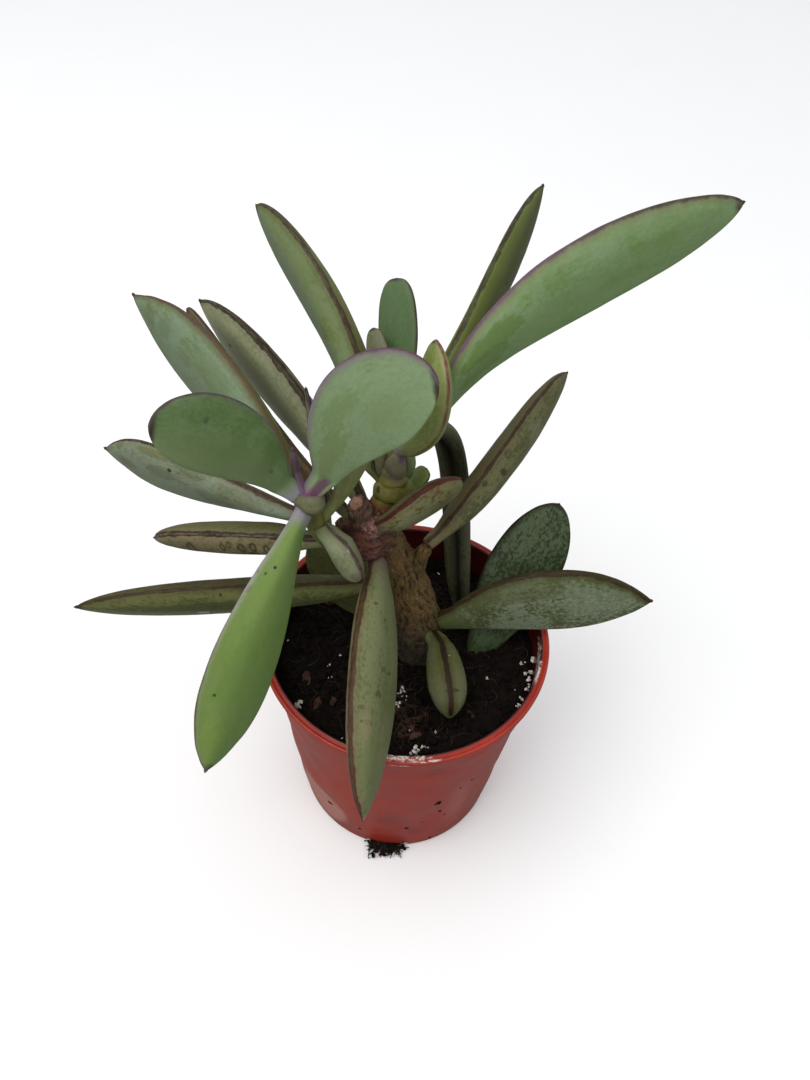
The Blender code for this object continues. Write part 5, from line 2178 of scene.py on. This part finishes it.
@dataclass(frozen=True)
class RootTuft:
    """The clump of dark roots that grows out through the notch in the pot's foot."""

    dark: CrumbFinish = CrumbFinish("root_clump", (16, 12, 10), (32, 24, 18), (84, 56, 38), 0.15, 0.4)
    brown: CrumbFinish = CrumbFinish("root_fibre", (70, 46, 32), (112, 76, 52), (140, 100, 74), 0.2, 0.5)
    pale: CrumbFinish = CrumbFinish("root_tip", (196, 200, 200), (224, 226, 224), (170, 170, 166), 0.1, 0.3)
    lumps: int = 150
    dark_strands: int = 46
    brown_strands: int = 16

    CLUMP_SEED: ClassVar[int] = 31
    DARK_SEED: ClassVar[int] = 41
    BROWN_SEED: ClassVar[int] = 43
    TIPS: ClassVar[tuple[tuple[float, float], ...]] = (
        (5.2, -34.6), (3.6, -36.8), (1.6, -36.2), (0.2, -37.2), (-1.8, -36.8), (-3.2, -38.2), (-6.4, -38.6),
        (-5.6, -36.2), (-7.6, -35.4), (-8.0, -34.2),
    )

    def clump(self) -> MeshData:
        """Packs short fat lumps of root and peat behind the tips.

        Returns:
            The lumps' mesh.
        """
        rng = np.random.default_rng(self.CLUMP_SEED)
        parts = []
        for number in range(self.lumps):
            tip = np.array(self.TIPS[number % len(self.TIPS)])
            share = rng.uniform(0.0, 0.92)
            x, y = tip * share + np.array((-1.0, -31.5)) * (1 - share) + rng.normal(0, 0.35, 2)
            size = rng.uniform(0.45, 0.95) * (1.15 - 0.45 * share)
            place = np.array((x, y, max(0.2 + size * 0.7, rng.uniform(0.3, 1.6))))
            parts.append(
                lump(place, size * rng.uniform(0.6, 1.1, 3), turned_matrix(rng), 0.6, number * 0.7, 2)
            )
        return joined(parts)

    def strands(self, seed: int, count: int, thick: float) -> MeshData:
        """Draws curling strands from the notch to past the tips.

        Args:
            seed: Which strands they are.
            count: How many there are.
            thick: The radius that each starts with.

        Returns:
            The strands' mesh.
        """
        rng = np.random.default_rng(seed)
        parts = []
        for number in range(count):
            tip = np.array(self.TIPS[number % len(self.TIPS)]) + rng.normal(0, 0.7, 2)
            start = np.array((rng.uniform(-5.5, 3.5), rng.uniform(-33.0, -31.0)))
            side, rise = rng.normal(0, 0.9), rng.uniform(0.4, 1.7)
            path = []
            for t in np.linspace(0, 1, 12):
                bow = side * math.sin(math.pi * t) * np.array((0.8, 0.5))
                flat = start + (tip - start) * t + bow + rng.normal(0, 0.06, 2)
                path.append((*flat, 0.25 + thick + rise * math.sin(math.pi * min(t * 0.8 + 0.2, 1)) * 0.8))
            parts.append(tube(np.array(path), thick * np.linspace(1.0, 0.45, 12), 6))
        return joined(parts)

    def build(self) -> None:
        """Makes the roots and dresses them."""
        add_piece("root_clump", self.clump(), self.dark.material(), ("root_tuft",))
        add_piece(
            "root_dark_strands", self.strands(self.DARK_SEED, self.dark_strands, 0.28), self.dark.material(),
        )
        add_piece(
            "root_brown_strands", self.strands(self.BROWN_SEED, self.brown_strands, 0.14),
            self.brown.material(),
        )
        path = np.array([(-5.6, -37.4, 0.7), (-6.2, -38.0, 0.75), (-6.8, -38.3, 0.65), (-7.2, -38.4, 0.5)])
        add_piece(
            "root_white_tip", tube(path, np.array([0.3, 0.42, 0.4, 0.2]), 10), self.pale.material(),
        )


@dataclass(frozen=True)
class SplashMark:
    """A speck of soil on the pot's wall: its angle in degrees, its height and its size."""

    angle: float
    height: float
    size: float


@dataclass(frozen=True)
class Splashes:
    """The specks of soil that stick to the pot's wall."""

    pot: Pot
    finish: CrumbFinish = CrumbFinish("wall_splash", (22, 13, 10), (40, 22, 16), (60, 34, 24), 0.1, 0.4)

    SEED: ClassVar[int] = 77
    MARKS: ClassVar[tuple[SplashMark, ...]] = (
        SplashMark(-126.5, 18.3, 0.75), SplashMark(-68.6, 39.7, 0.8), SplashMark(-67.6, 38.0, 0.45),
        SplashMark(-65.8, 29.7, 0.55),
        SplashMark(-81.8, 17.6, 0.6), SplashMark(-107.8, 10.7, 0.5), SplashMark(-96.2, 2.0, 0.45),
        SplashMark(-82.9, 3.2, 0.45),
        SplashMark(-67.0, 3.0, 0.5), SplashMark(-58.0, 45.0, 0.3), SplashMark(-52.0, 47.0, 0.3),
        SplashMark(-74.0, 22.0, 0.3),
        SplashMark(-62.0, 24.0, 0.3), SplashMark(20.0, 30.0, 0.5), SplashMark(100.0, 22.0, 0.6),
        SplashMark(160.0, 14.0, 0.5),
    )

    def build(self) -> None:
        """Makes the specks and dresses them."""
        rng = np.random.default_rng(self.SEED)
        parts = []
        for number, mark in enumerate(self.MARKS):
            for _ in range(3):
                angle = math.radians(mark.angle + rng.normal(0, 0.6) * mark.size)
                height = max(mark.height + rng.normal(0, 0.5) * mark.size, 1.2)
                radius = self.pot.wall_radius(height) + self.pot.wobble(angle, height) + 0.02
                place = np.array((radius * math.cos(angle), radius * math.sin(angle), height))
                turn = Matrix.Rotation(angle, 3, "Z")
                sizes = mark.size * np.array((0.35, rng.uniform(0.5, 1.0), rng.uniform(0.5, 1.0)))
                parts.append(lump(place, sizes, turn, 0.5, number * 0.9, 1))
        add_piece("pot_splashes", joined(parts), self.finish.material())


LEAVES = (
    # The young rosette at the left shoot's head
    LeafBlade(
        "leaf_left_round", SHOOT_LEFT, 0.97, tip=(-52, -22, 173), width=17, thick=3.6, seat=165, roll=15,
        rise=5.1, early=0.05, widest=0.65, keel=0.1, shoulder=1.15, point=0.5, spur=0.15,
        finish=DARK_PADDLE,
    ),
    LeafBlade(
        "leaf_centre_broad", SHOOT_LEFT, 0.99, tip=(3, -5, 175), width=21.5, thick=3.6, roll=-22, rise=7.15,
        early=-0.15, widest=0.67, keel=0.1, shoulder=1.1, point=0.52, spur=0.15, finish=PALE_PADDLE,
    ),
    LeafBlade(
        "leaf_front_bright", SHOOT_LEFT, 0.84, tip=(-45, -55, 95), width=18.3, thick=4.4, roll=35, rise=1,
        keel=0.2, finish=BRIGHT_BLADE,
    ),
    LeafBlade(
        "leaf_under_centre", SHOOT_LEFT, 0.6, tip=(-13, 4.6, 147), width=6.2, thick=2.4, roll=-20, keel=0.2,
        widest=0.8, shoulder=1.5, spur=0.15, stalk=1.35, finish=OLIVE_YOUNG,
    ),
    LeafBlade(
        "leaf_left_lower", SHOOT_LEFT, 0.62, tip=(-85, 21, 125), width=17.2, thick=6, roll=-3, rise=-0.5,
        widest=0.72, shoulder=1.7, point=1.0, finish=WAXED_OLD,
    ),
    LeafBlade(
        "leaf_small_inner", SHOOT_LEFT, 0.6, tip=(-13.6, -12, 117.4), width=12, thick=7, seat=-30, roll=12,
        keel=0.6, widest=0.66, point=0.42, spur=0.15, finish=SMALL_PALE,
    ),
    LeafBlade(
        "leaf_upper_left", SHOOT_LEFT, 0.75, tip=(-81, 54, 152), width=22, thick=8, roll=9, rise=4.8,
        early=0.8, widest=0.56, point=1.0, finish=WAXED_YOUNG,
    ),
    LeafBlade(
        "leaf_spike", SHOOT_LEFT, 0.42, tip=(-29, 21, 150), width=8, thick=2.6, finish=PURPLE_SPIKE,
    ),
    LeafBlade(
        "leaf_middle_left", SHOOT_LEFT, 0.28, tip=(-73, 10, 102), width=18, thick=8.8, roll=-37, keel=0.9,
        finish=RING_SPOTTED,
    ),
    LeafBlade(
        "leaf_bud", SHOOT_LEFT, 1.0, tip=(-29, -1, 150), width=3.6, thick=2, seat=120, keel=0.3,
        finish=PURPLE_BUD,
    ),
    # Old leaves on the trunk
    LeafBlade(
        "leaf_behind_left", TRUNK, 0.78, tip=(-67, 55, 148), width=10, thick=4, drift=-3.2, keel=0.4,
        point=0.4, spur=0.15, finish=OLIVE_STRIP,
    ),
    LeafBlade(
        "leaf_grey_left", TRUNK, 0.93, tip=(-66, 64, 145), width=20.5, thick=7.6, seat=108, rise=2.6,
        drift=0.5, keel=0.8, finish=GREY_BROWN,
    ),
    LeafBlade(
        "leaf_long_left", TRUNK, 0.52, tip=(-89, -13, 98), width=21, thick=8.6, roll=-19, rise=-2.2,
        keel=0.8, finish=LONG_OLD,
    ),
    LeafBlade(
        "leaf_low_left", TRUNK, 0.3, tip=(-30, 23, 92), width=17, thick=4, roll=50, drift=-1.5,
        shoulder=0.9, point=0.5, finish=SHADED_LOW,
    ),
    LeafBlade(
        "leaf_front", TRUNK, 0.74, tip=(-7, -61, 88), width=23, thick=8.2, roll=27, drift=-0.9, widest=0.47,
        keel=0.8, shoulder=0.62, point=0.78, finish=FRONT_STRIPED,
    ),
    LeafBlade(
        "leaf_small_right", TRUNK, 0.93, tip=(10.8, 6, 137.8), width=15.4, thick=6.6, seat=-30, roll=21,
        drift=0.6, keel=0.6, shoulder=0.7, point=0.6, spur=0.15, finish=RED_STRIPED,
    ),
    LeafBlade(
        "leaf_low_right", TRUNK, 0.3, tip=(69, 5, 96), width=19.5, thick=6, roll=-21, rise=5.6, widest=0.55,
        keel=0.7, shoulder=0.8, point=0.9, spur=0.4, finish=MOTTLED_GREY,
    ),
    LeafBlade(
        "leaf_low_front", TRUNK, 0.27, tip=(14, -26, 78), width=13, thick=12, seat=-45, keel=0.9,
        widest=0.62, shoulder=0.7, point=0.34, spur=0.15, finish=SCARRED_LOW,
    ),
    LeafBlade(
        "leaf_right", FORK, 0.95, tip=(43, 65, 128), width=21, thick=9, roll=4, drift=2, keel=0.8,
        finish=BROWN_SPOTTED,
    ),
    LeafBlade(
        "leaf_right_broad", GROUND, 0.4, tip=(41, 25, 112), width=21.5, thick=4, roll=-60, keel=0.3,
        shoulder=1.5, point=0.6, spur=0.3, finish=MOTTLED_BLUE,
    ),
    # The rosette on the back shoot
    LeafBlade(
        "leaf_back_left", SHOOT_BACK, 0.3, tip=(-46, 61, 176), width=23, thick=8, seat=190, roll=-4, rise=6,
        drift=4.4, widest=0.66, keel=0.7, point=0.65, finish=TALL_STRIPED,
    ),
    LeafBlade(
        "leaf_back_upright", SHOOT_BACK, 0.98, tip=(-8.4, 38, 172), width=10, thick=3.2, roll=66, keel=0.2,
        shoulder=1.4, point=0.34, spur=0.15, finish=SMALL_UPRIGHT,
    ),
    LeafBlade(
        "leaf_back_small", SHOOT_BACK, 0.95, tip=(-13, 27, 165), width=6.2, thick=2.6, seat=200, roll=50,
        keel=0.3, point=0.4, spur=0.15, finish=DULL_YOUNG,
    ),
    LeafBlade(
        "leaf_spoon", SHOOT_BACK, 0.78, tip=(2, 14, 172), width=17, thick=6, seat=-95, roll=68, rise=0.2,
        drift=5, keel=0.6, shoulder=2.2, point=0.7, spur=0.15, finish=SPOON,
    ),
    LeafBlade(
        "leaf_long_right", SHOOT_BACK, 0.99, tip=(71, 50, 190.6), width=17.6, thick=5, seat=0, roll=-17,
        rise=11.2, early=0.46, widest=0.55, keel=0.3, shoulder=1.4, point=0.64, finish=LONG_BLADE,
    ),
    LeafBlade(
        "leaf_back_right", SHOOT_BACK, 0.95, tip=(28, 79, 178), width=12.8, thick=5.2, seat=60, roll=-12,
        rise=2, drift=2.8, keel=0.4, finish=YELLOW_CORE,
    ),
    LeafBlade(
        "leaf_drooping", SHOOT_BACK, 0.8, tip=(17, 14, 73), width=8.6, thick=6, seat=50, roll=0, rise=2.4,
        drift=-19, early=0.9, widest=0.5, keel=0.3, shoulder=0.4, point=0.3, groove=0.35, finish=CHANNELLED,
    ),
    LeafBlade(
        "leaf_round_back", SHOOT_BACK, 0.15, tip=(2.4, 17, 129.8), width=9.5, thick=3, roll=60, keel=0.3,
        point=0.35, spur=0.15, finish=PLAIN_YOUNG,
    ),
)

SHOOTS = (
    Shoot(
        "shoot_left", SHOOT_LEFT,
        ShootFinish("left_shoot_skin", (106, 108, 52), (82, 84, 40), (
            ((-24.6, -7.0, 139.5), (6.0, 5.0, 3.4), (104, 107, 74)),
            ((-25.6, -5.6, 142.6), (3.6, 3.0, 1.8), (104, 66, 100)),
            ((-24.6, -8.6, 136.4), (3.6, 2.4, 0.5), (70, 52, 48)),
        )),
        rings=((0.86, 0.3), (0.55, 0.25), (0.3, 0.2)),
        sheaths=(((-24.4, -6.4, 138.6), (3.5, 3.2, 2.7)),),
    ),
    Shoot(
        "shoot_back", SHOOT_BACK,
        ShootFinish("back_shoot_skin", (134, 128, 58), (112, 108, 46), (
            ((-7.5, 7.0, 125.4), (6.5, 6.5, 1.8), (124, 80, 42)),
            ((-5.4, 4.0, 128.4), (1.8, 3.0, 0.4), (66, 38, 22)),
            ((-9.6, 5.6, 131.6), (0.5, 2.0, 0.9), (70, 46, 26)),
            ((-9.2, 9.6, 138.5), (2.0, 2.6, 5.4), (116, 116, 84)),
            ((-2.2, 10.0, 138.0), (1.8, 2.6, 5.4), (122, 132, 92)),
            ((-5.4, 7.6, 138.2), (2.9, 3.2, 4.6), (114, 108, 86)),
            ((-3.6, 7.2, 141.4), (1.3, 1.8, 0.9), (98, 78, 98)),
            ((-4.0, 12.5, 149.0), (4.0, 4.0, 2.2), (116, 100, 108)),
        )),
        rings=((0.2, 0.4), (0.42, 0.35), (0.85, 0.2)),
        sheaths=(
            ((-5.4, 8.4, 138.0), (2.8, 2.3, 4.2)), ((-9.2, 10.0, 138.0), (1.7, 1.8, 5.4)),
            ((-2.2, 10.2, 137.6), (1.6, 1.6, 5.2)), ((-6.4, 8.7, 129.2), (4.8, 4.0, 4.4)),
        ),
    ),
)


@dataclass(frozen=True)
class Studio:
    """The camera, the soft lights and the pale floor."""

    distance: float = 241.0
    aim_height: float = 80.0
    elevation: float = 55.1
    roll: float = 4.18
    focal: float = 811.0
    aim: tuple[float, float] = (406.0, 629.9)
    image: tuple[float, float] = (810.0, 1080.0)
    sensor: float = 36.0
    floor_reach: float = 2.2
    horizon: float = 0.42
    zenith: float = 0.95

    def camera(self) -> bpy.types.Object:
        """Places the camera at the photograph's viewing angle.

        Returns:
            The camera.
        """
        lean, turn = math.radians(self.elevation), math.radians(self.roll)
        back = np.array((0, -math.cos(lean), math.sin(lean)))
        right = np.array((1.0, 0, 0))
        axes = np.array((right, np.cross(back, right), back))
        cos, sin = math.cos(turn), math.sin(turn)
        axes = np.array(((cos, sin, 0), (-sin, cos, 0), (0, 0, 1))) @ axes
        across, down = self.aim[0] - self.image[0] / 2, self.aim[1] - self.image[1] / 2
        sight = Vector((across / self.focal, -down / self.focal, -1))
        swing = np.array(Vector((0, 0, -1)).rotation_difference(sight.normalized()).to_matrix())
        axes = swing @ axes
        place = (np.array((0, 0, self.aim_height)) + back * self.distance) * MM
        lens = bpy.data.cameras.new("photo_camera")
        lens.sensor_fit = "AUTO"
        lens.sensor_width = self.sensor
        lens.lens = self.focal * self.sensor / self.image[1]
        lens.clip_start = 0.01
        lens.clip_end = 20
        camera = bpy.data.objects.new("photo_camera", lens)
        matrix = Matrix(axes.T.tolist()).to_4x4()
        matrix.translation = Vector(place)
        camera.matrix_world = matrix
        bpy.context.scene.collection.objects.link(camera)
        bpy.context.scene.camera = camera
        return camera

    def light(self, name: str, place: Place, size: float, power: float, colour: Place) -> None:
        """Hangs a square soft light that faces the plant.

        Args:
            name: The light's name.
            place: Where it hangs, in metres.
            size: The length of its side, in metres.
            power: Its power in watts.
            colour: Its colour.
        """
        lamp = bpy.data.lights.new(name, "AREA")
        lamp.shape = "SQUARE"
        lamp.size = size
        lamp.energy = power
        lamp.color = colour
        made = bpy.data.objects.new(name, lamp)
        made.location = place
        made.rotation_euler = (Vector((0, 0, 0.1)) - Vector(place)).to_track_quat("-Z", "Y").to_euler()
        bpy.context.scene.collection.objects.link(made)

    def floor(self) -> None:
        """Lays the pale floor."""
        material, graph, shader = new_material("pale_floor")
        seen = graph.value("ShaderNodeLightPath", {}, "Is Camera Ray")
        pale = graph.mix(graph.noise(graph.object_place(), 60.0, 1.0), (250, 250, 250), (253, 253, 253))
        colour = graph.mix(seen, (150, 150, 148), pale)
        graph.feed(shader, {"Base Color": colour, "Roughness": 0.85, "Specular IOR Level": 0.1})
        mesh = bpy.data.meshes.new("pale_floor")
        reach = self.floor_reach
        corners = [(-reach, -reach, 0), (reach, -reach, 0), (reach, reach, 0), (-reach, reach, 0)]
        mesh.from_pydata(corners, [], [(0, 1, 2, 3)])
        mesh.materials.append(material)
        piece = bpy.data.objects.new("pale_floor", mesh)
        piece.location.z = -0.0002
        bpy.context.scene.collection.objects.link(piece)

    def build(self) -> None:
        """Sets up the studio."""
        scene = bpy.context.scene
        world = bpy.data.worlds.new("soft_room")
        world.use_nodes = True
        graph = Graph(world.node_tree)
        up = graph.split(graph.value("ShaderNodeTexCoord", {}, "Generated"))[2]
        backdrop = world.node_tree.nodes["Background"]
        backdrop.inputs["Color"].default_value = (0.97, 0.985, 1.0, 1.0)
        graph.feed(backdrop, {"Strength": up.ease(-0.1, 0.9, self.horizon, self.zenith)})
        scene.world = world
        scene.view_settings.view_transform = "Standard"
        self.camera()
        self.light("key_light", (-0.45, -0.3, 1.15), 0.8, 6.5, (1.0, 0.985, 0.96))
        self.floor()
        log.info("studio: camera, lights and floor")


def main() -> None:
    """Builds the studio and every piece of the plant, in order."""
    logging.basicConfig(level=logging.INFO, format="%(name)s %(message)s")
    Studio().build()
    pot = Pot()
    pot.build()
    Splashes(pot).build()
    Soil().build()
    Trunk().build()
    for shoot in SHOOTS:
        shoot.build()
    for number, leaf in enumerate(LEAVES):
        leaf.build(number)
    RootTuft().build()


if __name__ == "__main__":
    main()
